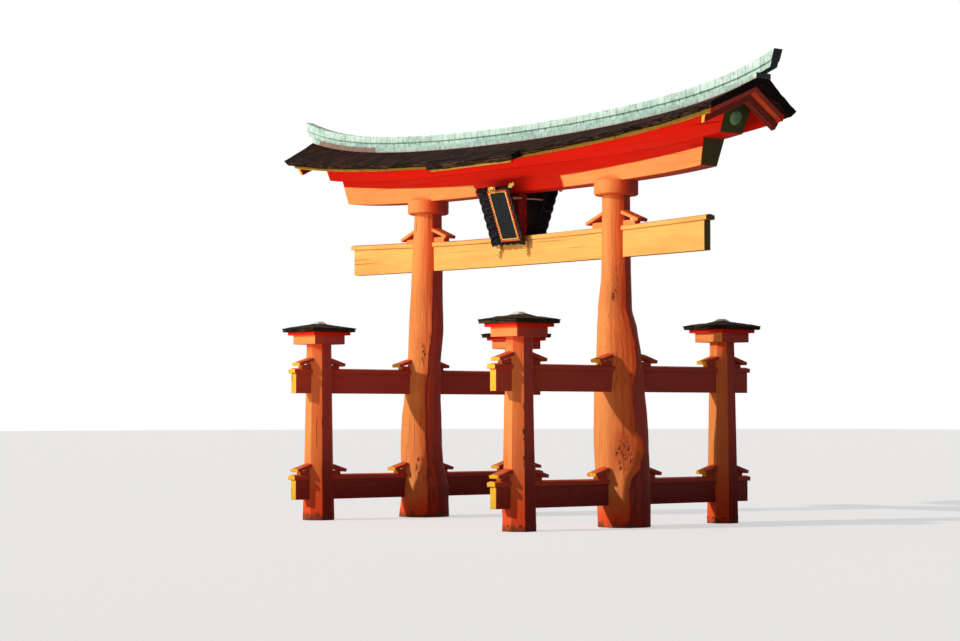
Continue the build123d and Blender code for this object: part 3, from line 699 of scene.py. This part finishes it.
def on_seam(x, shift):
    """Whether x is on a seam of a row that is shifted by a share of a plate."""
    return abs((x / PLATE_LENGTH + shift + 0.5) % 1 - 0.5) < SEAM_HALF


def course(half, low, high, rows):
    """Outlines of a copper course: rows of plates that meet in raised seams."""
    def outline(x):
        points = [(half, low(x)), (half, low(x) + COURSE_FOOT)]
        for row in range(rows):
            bottom, top = (low(x) + (high(x) - low(x)) * share / rows for share in (row, row + 1))
            face = half + (SEAM_RISE if on_seam(x, 0.5 * row) else 0)
            points += [(face, bottom + COURSE_FOOT + COURSE_STEP), (face, top - COURSE_LIP),
                       (half - COURSE_LIP, top - COURSE_LIP / 3)]
        points[-1] = (half, high(x) + (COURSE_LIP if on_seam(x, 0) else 0))
        return mirrored(points)
    return outline


def ridge_course(name, half, low, high, rows, cut, paint, foot_paint, foot_height):
    """One course of the ridge, with painted shade underneath and at its ends, and its own paint at its foot.
    """
    bm = loft(course(half - COURSE_INSET, low, high, rows), PLATE_STATIONS)
    trim_both(bm, *cut)
    # Painted shade on the ends
    paint_ends(bm, "X", 0.85)
    for face in bm.faces:
        centre = face.calc_center_median()
        if face.material_index == 0 and centre.z < low(centre.x) + foot_height:
            face.material_index = 2
        # Painted shade on the underside
        if face.normal.z < -0.55:
            face.material_index = 1
    roughen(bm, 0.01, (2.2, 2.2, 2.2))
    piece(f"{name}_copper", bm, [paint, COPPER_PAINTED_SHADE, foot_paint], [name])


BASE_CUT = (RIDGE_BASE_END, base_top(RIDGE_BASE_END), 0)
RIDGE_CUT = (RIDGE_HALF, ridge_top(RIDGE_HALF), RIDGE_LEAN)
ridge_course("ridge_base", RIDGE_BASE_HALF, ridge_foot, base_top, 1, BASE_CUT, COPPER_BASE, COPPER_FOOT, 0.03)
ridge_course("ridge_body", RIDGE_BODY_HALF, base_top, body_top, 2, RIDGE_CUT, COPPER, COPPER_FOOT, 0)
ridge_course("ridge_cap", RIDGE_CAP_HALF, cap_low, ridge_top, 1, RIDGE_CUT, COPPER, COPPER_SEAM, 0.032)


# Lintels

LINTEL_EDGE, LINTEL_GAP = 0.018, 0.003


def lower_outline(x):
    return mirrored([(LOWER_BOTTOM_HALF, LOWER_BOTTOM + (x / LOWER_END_X) ** 4 * LOWER_LIFT),
                     (LOWER_TOP_HALF, lintel_joint(x) - LINTEL_GAP)])


def upper_outline(x):
    return mirrored([(UPPER_BOTTOM_HALF, lintel_joint(x)),
                     (UPPER_TOP_HALF, underside(x, UPPER_TOP_HALF)), (0, underside(x, 0))])


def lintel(name, bm, cut, paint):
    trim_both(bm, *cut)
    paint_ends(bm, "X")
    soften(bm, LINTEL_EDGE)
    piece(f"{name}_wood", bm, [paint, GREEN_END], [name])


lintel("lower_lintel", loft(lower_outline, spaced(-UPPER_END_X, UPPER_END_X, 2 * STATION)),
       (LOWER_END_X, LOWER_BOTTOM + LOWER_LIFT, LOWER_LEAN), LINTEL)
lintel("upper_lintel", loft(upper_outline), (UPPER_END_X, UPPER_BOTTOM + UPPER_LIFT, UPPER_LEAN), RED)


# Boards under the roof

GABLE_TIP_Y, GABLE_BOARD_DEPTH, PORCH_STRIP_INSET = 1.55, 0.16, 0.15


def soffit_planks():
    corners = ((UPPER_TOP_HALF, SOFFIT_THICKNESS), (STRIP_IN, SOFFIT_THICKNESS),
               (STRIP_IN, 0), (UPPER_TOP_HALF, 0))
    bm = loft_pair(lambda x: [(y, underside(x, y) - drop) for y, drop in corners])
    trim_both(bm, GABLE_INNER_X, VERGE_Z, VERGE_LEAN)
    piece("soffit_planks", bm, [RED], ["soffit_boards"])


def eave_planks():
    """Boards along the eaves and under the porches' edges, yellow on their outward faces, darkened
    to olive there as painted shade of the eaves.
    """
    bm = loft_pair(lambda x: [(STRIP_IN, strip_low(x)), (STRIP_OUT, strip_low(x)),
                              (STRIP_OUT, underside(x, STRIP_OUT)), (STRIP_IN, underside(x, STRIP_IN))])
    trim_both(bm, GABLE_OUTER_X, VERGE_Z, VERGE_LEAN)
    slope = (PORCH_LOW - underside(0, STRIP_OUT)) / (PORCH_LOW_Y - STRIP_OUT)
    low = PORCH_LOW - STRIP_DEPTH
    inner_top, outer_top = (PORCH_LOW + slope * (y - PORCH_LOW_Y) for y in (PORCH_STRIP_IN, PORCH_STRIP_OUT))
    half = PORCH_HALF - PORCH_STRIP_INSET
    loft_pair(lambda x: [(PORCH_STRIP_IN, low), (PORCH_STRIP_OUT, low), (PORCH_STRIP_OUT, outer_top),
                         (PORCH_STRIP_IN, inner_top)], spaced(-half, half, 3 * STATION), bm)
    for face in bm.faces:
        outward = face.normal.y * math.copysign(1, face.calc_center_median().y)
        # Outward faces in yellow under painted shade
        face.material_index = 0 if outward > 0.7 else 1
    piece("eave_planks", bm, [YELLOW_PAINTED_SHADE, RED], ["eave_boards"])


def gable_wood(side):
    """Boards up a gable, with yellow tips and painted shade on the dark board behind."""
    bm = from_node(f"gable_boards_{side}")
    for face in bm.faces:
        centre = face.calc_center_median()
        out = abs(centre.x) - VERGE_LEAN * (centre.z - VERGE_Z)
        if abs(face.normal.y) > 0.6 and abs(centre.y) > GABLE_TIP_Y:
            face.material_index = 1
        # The board behind gets painted shade
        elif out < GABLE_OUTER_X - GABLE_BOARD_DEPTH:
            face.material_index = 2
    soften(bm, 0.01)
    piece(f"gable_{side}_wood", bm, [GABLE, YELLOW_END, PAINTED_SHADE_DARK_RED], [f"gable_boards_{side}"])


soffit_planks()
eave_planks()
for side in SIDES:
    gable_wood(side)


# Side frames

# Roof of a post: points along each side, its edge as (inset, height), shares up its slope, cap
SIDE_POINTS = 24
EDGE_TOP, PEAK_HALF = 0.125, 0.045
EDGE_PROFILE = ((0.3, 0), (0.045, 0), (0.03, 0.05), (0.045, 0.055), (0.02, 0.1), (0.03, 0.105))
SLOPE_SHARES = (0, 0.06, 0.12, 0.25, 0.38, 0.5, 0.62, 0.75, 0.88, 1)
CAP_LOW, CAP_TOP, CAP_HEIGHT, CAP_LIFT = 0.29, 0.13, 0.085, 0.01
SMALL_EDGE = 0.008


def box_middle(node):
    """Middle and half width of a CAD node's box, and its lowest and highest z."""
    low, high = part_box(node)
    return (low[0] + high[0]) / 2, (low[1] + high[1]) / 2, (high[0] - low[0]) / 2, low[2], high[2]


def post_roof(corner):
    """Roof over a side post: layered bark edge, mossy slopes, white metal cap."""
    cx, cy, half, low, peak = box_middle(f"post_roof_{corner}")
    edge_top = low + EDGE_TOP
    profile = [(half - inset, low + up) for inset, up in EDGE_PROFILE]
    profile += [(half * (1 - t) + PEAK_HALF * t, edge_top + (peak - edge_top) * t) for t in SLOPE_SHARES]
    bm, rings = bmesh.new(), []
    for half_width, z in profile:
        ring = []
        for side in range(4):
            for i in range(SIDE_POINTS):
                t = i / SIDE_POINTS * 2 - 1
                a, b = ((1, t), (-t, 1), (-1, -t), (t, -1))[side]
                ring.append(bm.verts.new((cx + a * half_width, cy + b * half_width, z)))
        rings.append(ring)
    skin(bm, rings)
    bm.normal_update()
    for face in bm.faces:
        face.material_index = 1 if abs(face.normal.z) < 0.6 else 0
    roughen(bm, 0.03, (3.5, 3.5, 6), lambda v: v.co.z > low + 0.02)
    piece(f"post_roof_{corner}_bark", bm, [MOSSY, EDGE], [f"post_roof_{corner}"])

    bm = bmesh.new()
    place = Matrix.Translation((cx, cy, peak + CAP_LIFT)) @ Matrix.Rotation(math.pi / 4, 4, "Z")
    bmesh.ops.create_cone(bm, cap_ends=True, segments=4, radius1=CAP_LOW, radius2=CAP_TOP,
                          depth=CAP_HEIGHT, matrix=place)
    soften(bm, 0.012)
    piece(f"post_cap_{corner}", bm, [ZINC])


for side in SIDES:
    dress(f"upper_tie_{side}", WOOD["Y"], YELLOW_END)
    dress(f"lower_tie_{side}", WOOD_LOW, YELLOW_END)
    dress(f"tie_caps_{side}", WOOD["Y"], YELLOW_END)
    dress(f"tie_wedges_{side}", WOOD["Y"], YELLOW_END, width=SMALL_EDGE)
    dress(f"tie_slabs_{side}", WOOD["Y"], YELLOW_END, width=SMALL_EDGE)
    dress(f"pillar_ring_{side}", WOOD["Z"])
for corner in CORNERS:
    dress(f"side_post_{corner}", POST, width=0.02)
    post_roof(corner)
dress("post_capitals", WOOD["Y"], width=0.014)
dress("post_eave_boards", RED)


# Main tie beam

dress("main_tie_beam", TIE, GREEN_END, "X", 0.014)
dress("main_tie_cap", TIE, GREEN_END, "X")
dress("main_wedges", WOOD["X"], width=SMALL_EDGE)
dress("main_slabs", WOOD["X"], width=SMALL_EDGE)
# The strut in painted shade
dress("centre_strut", STRUT_PAINTED_SHADE)


# Trunk pillars

TRUNK_AROUND, TRUNK_STEP = 216, 0.06
# Noise on a trunk: share of its radius, closeness round it, closeness up it
TRUNK_NOISE = ((0.02, 1.3, 0.35), (0.01, 5, 0.5), (0.007, 9, 2.2), (0.005, 22, 0.8))
# The ridge up a trunk: angles round it, and shares of its radius
FRONT = -math.pi / 2
APPROACH, HOLLOW_WIDTH = 0.7, 0.45
PAST_RIDGE, PAST_WIDTH = 0.06, 0.9
WANDER = 0.05
# By height: the ridge's direction from the front, its lift, the hollow before it, the fall past it
RIDGE_LEFT = (
    (0, 1, .04, .03, .4), (1.2, .95, .04, .03, .4), (1.9, 1.12, .05, .04, .15),
    (3, 1.08, .04, .03, .2), (4.6, 1.04, .04, .03, .2), (5.5, 1.12, .07, .05, .12),
    (6.6, 1.2, .06, .03, .12), (8.2, 1.28, .03, .02, .2), (PILLAR_HEIGHT, 1.28, .02, .02, .2),
)
RIDGE_RIGHT = (
    (0, .98, .045, .03, .42), (1.2, .98, .045, .03, .42), (1.5, 1.08, .05, .05, .3),
    (1.95, 1.48, .1, .09, .09), (2.5, 1.62, .15, .1, .09), (2.85, 1.57, .11, .09, .09),
    (3.2, 1.3, .03, .03, .2), (4.5, 1.35, .05, .05, .2), (5.2, 1.54, .08, .08, .1),
    (5.9, 1.58, .08, .08, .1), (6.7, 1.5, .06, .06, .12), (8, 1.48, .05, .05, .12),
    (PILLAR_HEIGHT, 1.4, .02, .02, .2),
)


def eased(t):
    return t * t * (3 - 2 * t)


def between(rows, z):
    """The rows of a table by height that z lies between, and how far from one to the other."""
    for low, high in zip(rows, rows[1:]):
        if z <= high[0] + 1e-6:
            return low[1:], high[1:], (z - low[0]) / (high[0] - low[0])


def section_at(trunk, z):
    """Drift and radius of a trunk at height z, half eased between its sections."""
    low, high, t = between(trunk, z)
    t = 0.5 * (t + eased(t))
    return [a + t * (b - a) for a, b in zip(low, high)]


def crested(angle, z, line):
    """Share by which the ridge up a trunk swells or hollows it: nearly flat up to the ridge's
    line, steep past it."""
    low, high, t = between(line, z)
    where, lift, hollow, fall = (a + (b - a) * eased(t) for a, b in zip(low, high))
    where += WANDER * noise.noise(Vector((z * 1.7, lift * 9, 2)))
    turn = math.remainder(angle - FRONT - where, math.tau)
    if turn <= -APPROACH:
        return -hollow * math.exp(-((turn + APPROACH) / HOLLOW_WIDTH) ** 2)
    if turn <= 0:
        return (lift + hollow) * (1 + turn / APPROACH) ** 2 - hollow
    if turn < fall:
        return lift - (lift + PAST_RIDGE) * (1 - (1 - turn / fall) ** 2)
    return -PAST_RIDGE * math.exp(-((turn - fall) / PAST_WIDTH) ** 2)


def trunk_piece(name, node, way, trunk, seed, line):
    bm, rings = bmesh.new(), []
    for z in spaced(0, PILLAR_HEIGHT, TRUNK_STEP):
        drift, radius = section_at(trunk, z)
        centre = way * (PILLAR_FOOT_X + (PILLAR_TOP_X - PILLAR_FOOT_X) * z / PILLAR_HEIGHT + drift)
        ring = []
        for angle in angles(TRUNK_AROUND):
            x, y = math.cos(angle), math.sin(angle)
            uneven = sum(share * noise.noise(Vector((x * around, y * around, z * up + seed)))
                         for share, around, up in TRUNK_NOISE)
            r = radius * (1 + uneven + crested(angle, z, line))
            ring.append(bm.verts.new((centre + r * x, r * y, z)))
        rings.append(ring)
    skin(bm, rings)
    piece(name, bm, [TRUNK], [node])


trunk_piece("trunk_left", "main_pillar_left", -1, TRUNK_LEFT, 3, RIDGE_LEFT)
trunk_piece("trunk_right", "main_pillar_right", 1, TRUNK_RIGHT, 11, RIDGE_RIGHT)


# Lintel discs

# Steps up their domed faces: inwards and outwards
DISC_DOME = ((0.04, 0.025), (0.05, 0.018), (0.06, 0.008))


def lintel_discs():
    bm = from_node("lintel_discs")
    for face in [f for f in bm.faces if abs(f.normal.x) > 0.6 and len(f.verts) > 6]:
        for inwards, outwards in DISC_DOME:
            bmesh.ops.inset_individual(bm, faces=[face], thickness=inwards, depth=outwards)
    soften(bm, 0.02, 3)
    piece("lintel_discs_copper", bm, [COPPER_DISC], ["lintel_discs"])


lintel_discs()
dress("board_stays", CREAM, width=0.006)


# Name boards

BOARD_LEAN = math.radians(20.5)
RIM_Y, RIM_Z = 0.775, UPPER_BOTTOM - 1.68
RIM_HALF, PANEL_HALF = (0.82, 1.05), (0.5, 0.92)
RIM_FOOT = 0.07
RECESS, RIM_THICKNESS = 0.18, 0.056
# Lobes and ripples of the rim, their numbers along a short and a tall side
LOBE_RISE, LOBE_FALL, LOBES = 0.075, 0.03, (5, 7)
RIPPLE, RIPPLES = 0.012, (8, 12)
# Cross-section of the rim: shares of the way out and up, over its face and back
RIM_FACE = ((0, 0), (0.25, 0.3), (0.5, 0.55), (0.75, 0.8), (1, 1))
RIM_BACK = ((1, 1), (0.5, 0.55), (0, 0))
# Curls on the rim's sides and top: number, how far they reach along it, and place
SIDE_CURLS, SIDE_REACH, SIDE_U, SIDE_N = 12, 0.9, 0.69, -0.075
TOP_CURLS, TOP_REACH, TOP_V, TOP_N = 7, 0.62, 0.985, -0.07
# Bands round the panel: paint, distances from the panel's edge, height
BANDS = ((0, 0, 0.072, 0.03), (1, 0.072, 0.105, 0.04))
BAND_GAP = 0.005
STUD_INSET, STUD_STEP, STUD_HEIGHT, STUD_RADIUS = 0.04, 0.105, 0.03, 0.02
BOSS_PLACE, BOSS_RADIUS = (0, 1.02, 0.02), 0.07
# Gilded scrolls over the rim, and under its foot with which way they wind: place, size,
# thickness, turns and start
TOP_SCROLLS = (
    ((0.1, 1.02, 0.03), 0.07, 0.024, 1.1, -math.pi / 2),
    ((0.96, 1.07, 0), 0.09, 0.034, 1.2, math.pi),
    ((1.1, 1.11, 0), 0.065, 0.028, 1.1, math.pi),
)
FOOT_SCROLL_PLACE = (0.7, 0.235, RIM_Z - 1.06)
FOOT_SCROLLS = (
    ((0, 0, 0), (1, 1), 0.1, 0.04, 1.15, math.pi / 2),
    ((0.02, 0, -0.17), (-1, 1), 0.085, 0.036, 1.15, math.pi / 2),
    ((0.05, 0.03, 0.12), (1, -1), 0.06, 0.028, 1.1, 0),
)


def on_board(way, u, v, n):
    """Place u to the right, v up and n out of the rim of the board that faces `way`."""
    s, c = math.sin(BOARD_LEAN), math.cos(BOARD_LEAN)
    return Vector((-way * u, way * (RIM_Y + v * s + n * c), RIM_Z + v * c - n * s))


def curl(bm, place, across, up, size, thick, turns, start, index=0):
    """Carved scroll: a tapering rod wound inwards in the plane of `across` and `up`."""
    out, rings, sides, steps = across.cross(up).normalized(), [], 6, 18
    for i in range(steps + 1):
        t = i / steps
        a = start + turns * math.tau * t
        ray = across * math.cos(a) + up * math.sin(a)
        width = thick * (1 - 0.45 * t) * (0.4 if i in (0, steps) else 1)
        centre = place + ray * size * (1 - 0.8 * t)
        rings.append([bm.verts.new(centre + (ray * math.cos(b) + out * math.sin(b)) * width)
                      for b in angles(sides)])
    skin(bm, rings, index)


def stud(bm, place, normal, radius, index=0, sides=8):
    """Domed head of a nail or bolt."""
    side = normal.orthogonal().normalized()
    other = normal.cross(side)
    rings = []
    for height, width in ((-0.2, 1), (0.25, 0.95), (0.55, 0.6)):
        centre = place + normal * height * radius
        rings.append([bm.verts.new(centre + (side * math.cos(a) + other * math.sin(a)) * radius * width)
                      for a in angles(sides)])
    skin(bm, rings, index)


def round_the_board(half, step):
    """Places (u, v) round a rectangle, with the share along each side and whether it is tall."""
    corners = [(half[0], -half[1]), (half[0], half[1]), (-half[0], half[1]), (-half[0], -half[1])]
    for (u0, v0), (u1, v1) in zip(corners, corners[1:] + corners[:1]):
        count = max(4, round(math.hypot(u1 - u0, v1 - v0) / step))
        for share in (i / count for i in range(count)):
            yield u0 + (u1 - u0) * share, v0 + (v1 - v0) * share, share, abs(v1 - v0) > abs(u1 - u0)


def rim_section(way, u, v, share, tall):
    """Cross-section of a name board's rim: its rippled face out to the lobes, then its back."""
    inner_u, inner_v = u * PANEL_HALF[0] / RIM_HALF[0], v * PANEL_HALF[1] / RIM_HALF[1]
    lobe = LOBE_RISE * abs(math.sin(math.pi * share * LOBES[tall])) - LOBE_FALL
    ripple = RIPPLE * math.sin(math.tau * share * RIPPLES[tall])
    if v < 0 and not tall:
        v += RIM_FOOT

    def place(q, n, off):
        past = 0 if tall else lobe * 0.6 * math.copysign(q, v)
        return on_board(way, inner_u + (u - inner_u) * q * (1 + lobe * 2),
                        inner_v + (v - inner_v) * q + past, RECESS * (n - 1) + off)

    face = [place(q, n, ripple * math.sin(math.pi * q)) for q, n in RIM_FACE]
    return face + [place(q, n, -RIM_THICKNESS) for q, n in RIM_BACK]


def name_board(way, side):
    """Carved rim, painted and gilded bands round the panel, and gilded scrolls."""
    across, up, normal = (on_board(way, *step) - on_board(way, 0, 0, 0)
                          for step in ((1, 0, 0), (0, 1, 0), (0, 0, 1)))
    bm = bmesh.new()
    sections = [rim_section(way, *step) for step in round_the_board(RIM_HALF, 0.025)]
    skin(bm, [[bm.verts.new(p) for p in section] for section in sections], closed=True)
    for s in (-1, 1):
        outward = on_board(way, s * RIM_HALF[0], 0, 0) - on_board(way, s * PANEL_HALF[0], 0, -RECESS)
        outward.normalize()
        for i in range(SIDE_CURLS):
            place = on_board(way, s * SIDE_U, SIDE_REACH * ((2 * i + 1) / SIDE_CURLS - 1), SIDE_N)
            off, start = (0.05, 0) if i % 2 else (-0.04, math.pi)
            curl(bm, place + outward * off, outward, up, 0.072, 0.017, 1.15, start, 1)
    for i in range(TOP_CURLS):
        place = on_board(way, TOP_REACH * ((2 * i + 1) / TOP_CURLS - 1), TOP_V, TOP_N)
        curl(bm, place, across, up, 0.05, 0.014, 1.1, i * math.pi, 1)
    piece(f"board_rim_{side}", bm, [BLACK, PEWTER], [f"board_frame_{side}"])

    bm = bmesh.new()
    for index, low, high, tall in BANDS:
        section = ((low, 0), (low, tall * 0.7), ((low + high) / 2, tall), (high, tall * 0.7), (high, 0))
        rings = []
        for u, v in ((1, -1), (1, 1), (-1, 1), (-1, -1)):
            rings.append([bm.verts.new(on_board(way, u * (PANEL_HALF[0] - BAND_GAP - inset),
                                                v * (PANEL_HALF[1] - BAND_GAP - inset), n - RECESS))
                          for inset, n in section])
        skin(bm, rings, index, closed=True)
    for u, v, _, _ in round_the_board([half - STUD_INSET for half in PANEL_HALF], STUD_STEP):
        stud(bm, on_board(way, u, v, STUD_HEIGHT - RECESS), normal, STUD_RADIUS, 1)
    piece(f"board_trim_{side}", bm, [RED_LACQUER, GOLD], [f"board_border_{side}"])

    bm = bmesh.new()
    stud(bm, on_board(way, *BOSS_PLACE), normal, BOSS_RADIUS, sides=12)
    for s in (-1, 1):
        for (u, v, n), size, thick, turns, start in TOP_SCROLLS:
            curl(bm, on_board(way, s * u, v, n), across * s, up, size, thick, turns, start)
        x, y, z = FOOT_SCROLL_PLACE
        foot = Vector((s * x, way * y, z))
        for (x, y, z), (wind_x, wind_z), size, thick, turns, start in FOOT_SCROLLS:
            curl(bm, foot + Vector((s * x, way * y, z)), Vector((s * wind_x, 0, 0)), Vector((0, 0, wind_z)),
                 size, thick, turns, start)
    piece(f"board_scrolls_{side}", bm, [GOLD])
    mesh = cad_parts[f"board_panel_{side}"].data
    mesh.materials.clear()
    mesh.materials.append(SLATE)


name_board(-1, "front")
name_board(1, "back")


# Bolts at the posts' feet

BOLT_HEIGHT, BOLT_ASIDE, BOLT_SINK, BOLT_RADIUS = 0.18, 0.06, 0.012, 0.042


def foot_bolts():
    """One bolt on each of a post's eight sides."""
    bm = bmesh.new()
    for corner in CORNERS:
        cx, cy, half = box_middle(f"side_post_{corner}")[:3]
        for angle in angles(8):
            out = Vector((math.cos(angle), math.sin(angle), 0))
            across = Vector((-math.sin(angle), math.cos(angle), 0))
            place = Vector((cx, cy, BOLT_HEIGHT)) + out * (half - BOLT_SINK) + across * BOLT_ASIDE
            stud(bm, place, out, BOLT_RADIUS)
    piece("foot_bolts", bm, [IRON])


foot_bolts()


# Camera, light and floor

CAMERA_PLACE = (61.619, -53.283, 3.631)
CAMERA_VIEW = (-0.76602, 0.64163, 0.03917)
CAMERA_LENS, CAMERA_SENSOR, CAMERA_REACH = 89.72, 36, 600
# Suns: name, strength, spread in degrees, colour, direction to the lamp
SUNS = (
    ("key", 2.46, 1, (1, 0.96, 0.9), (-0.29, -1, 0.48)),
    ("fill", 0.14, 25, (1, 0.66, 0.5), (-0.4, -1, 0.06)),
)
# Reflector in front of the gate, for the light that water throws up under its eaves
REFLECTOR_POWER, REFLECTOR_SIZE, REFLECTOR_COLOR = 12800, (44, 12), (1, 0.82, 0.68)
REFLECTOR_PLACE = (0, -26, 0.02)
AMBIENT_STRENGTH, AMBIENT_COLOR = 0.13, (0.96, 0.92, 0.92)
WHITE = (1, 1, 1)
FLOOR_HALF, FLOOR_DROP, FLOOR_COLOR, FLOOR_GLOW = 400, 0.002, (0.45, 0.45, 0.45), 0.56


def add_lamp(name, kind, energy, color):
    data = bpy.data.lights.new(name, kind)
    data.energy = energy
    data.color = color
    return add_object(name, data)


def studio_world():
    """White to the camera and in reflections, and a faint light to all else."""
    world = bpy.data.worlds.new("studio")
    scene.world = world
    m = Nodes(world)
    path = m.nodes.new("ShaderNodeLightPath").outputs
    reflected = m.math("MAXIMUM", path["Is Glossy Ray"], path["Is Transmission Ray"])
    seen = m.math("MAXIMUM", path["Is Camera Ray"], reflected)
    ambient = m.nodes["Background"]
    ambient.inputs["Color"].default_value = rgba(AMBIENT_COLOR)
    ambient.inputs["Strength"].default_value = AMBIENT_STRENGTH
    white = m.add("ShaderNodeBackground", {"Color": rgba(WHITE), "Strength": 1})
    blend = m.add("ShaderNodeMixShader", {0: seen, 1: ambient.outputs[0], 2: white.outputs[0]})
    m.put(m.nodes["World Output"].inputs["Surface"], blend.outputs[0])


def pale_floor():
    """Plain floor that looks paler to the camera than the light it throws back on the gate."""
    mesh = bpy.data.meshes.new("floor")
    corners = [(x * FLOOR_HALF, y * FLOOR_HALF, 0) for x, y in ((-1, -1), (1, -1), (1, 1), (-1, 1))]
    mesh.from_pydata(corners, [], [(0, 1, 2, 3)])
    floor = add_object("floor", mesh)
    floor.location.z = -FLOOR_DROP
    m = Shader("floor", roughness=0.9, specular=0.1)
    mesh.materials.append(m.finish(FLOOR_COLOR))
    seen = m.nodes.new("ShaderNodeLightPath").outputs["Is Camera Ray"]
    strength = m.times(seen, FLOOR_GLOW)
    glow = m.add("ShaderNodeEmission", {"Color": rgba(WHITE), "Strength": strength})
    both = m.add("ShaderNodeAddShader", {0: m.surface.outputs[0], 1: glow.outputs[0]})
    m.put(m.nodes["Material Output"].inputs["Surface"], both.outputs[0])
    return floor


camera = add_object("camera", bpy.data.cameras.new("camera"))
camera.data.lens = CAMERA_LENS
camera.data.sensor_width = CAMERA_SENSOR
camera.data.clip_end = CAMERA_REACH
camera.location = CAMERA_PLACE
camera.rotation_euler = Vector(CAMERA_VIEW).to_track_quat("-Z", "Y").to_euler()
scene.camera = camera

studio_world()
for name, energy, spread, color, toward in SUNS:
    sun = add_lamp(name, "SUN", energy, color)
    sun.data.angle = math.radians(spread)
    sun.rotation_euler = (-Vector(toward)).to_track_quat("-Z", "Y").to_euler()

reflector = add_lamp("low_reflector", "AREA", REFLECTOR_POWER, REFLECTOR_COLOR)
reflector.data.shape = "RECTANGLE"
reflector.data.size, reflector.data.size_y = REFLECTOR_SIZE
reflector.location = REFLECTOR_PLACE
reflector.rotation_euler = (math.radians(180), 0, 0)
reflector.visible_camera = False

floor = pale_floor()

scene.view_settings.view_transform = "Standard"
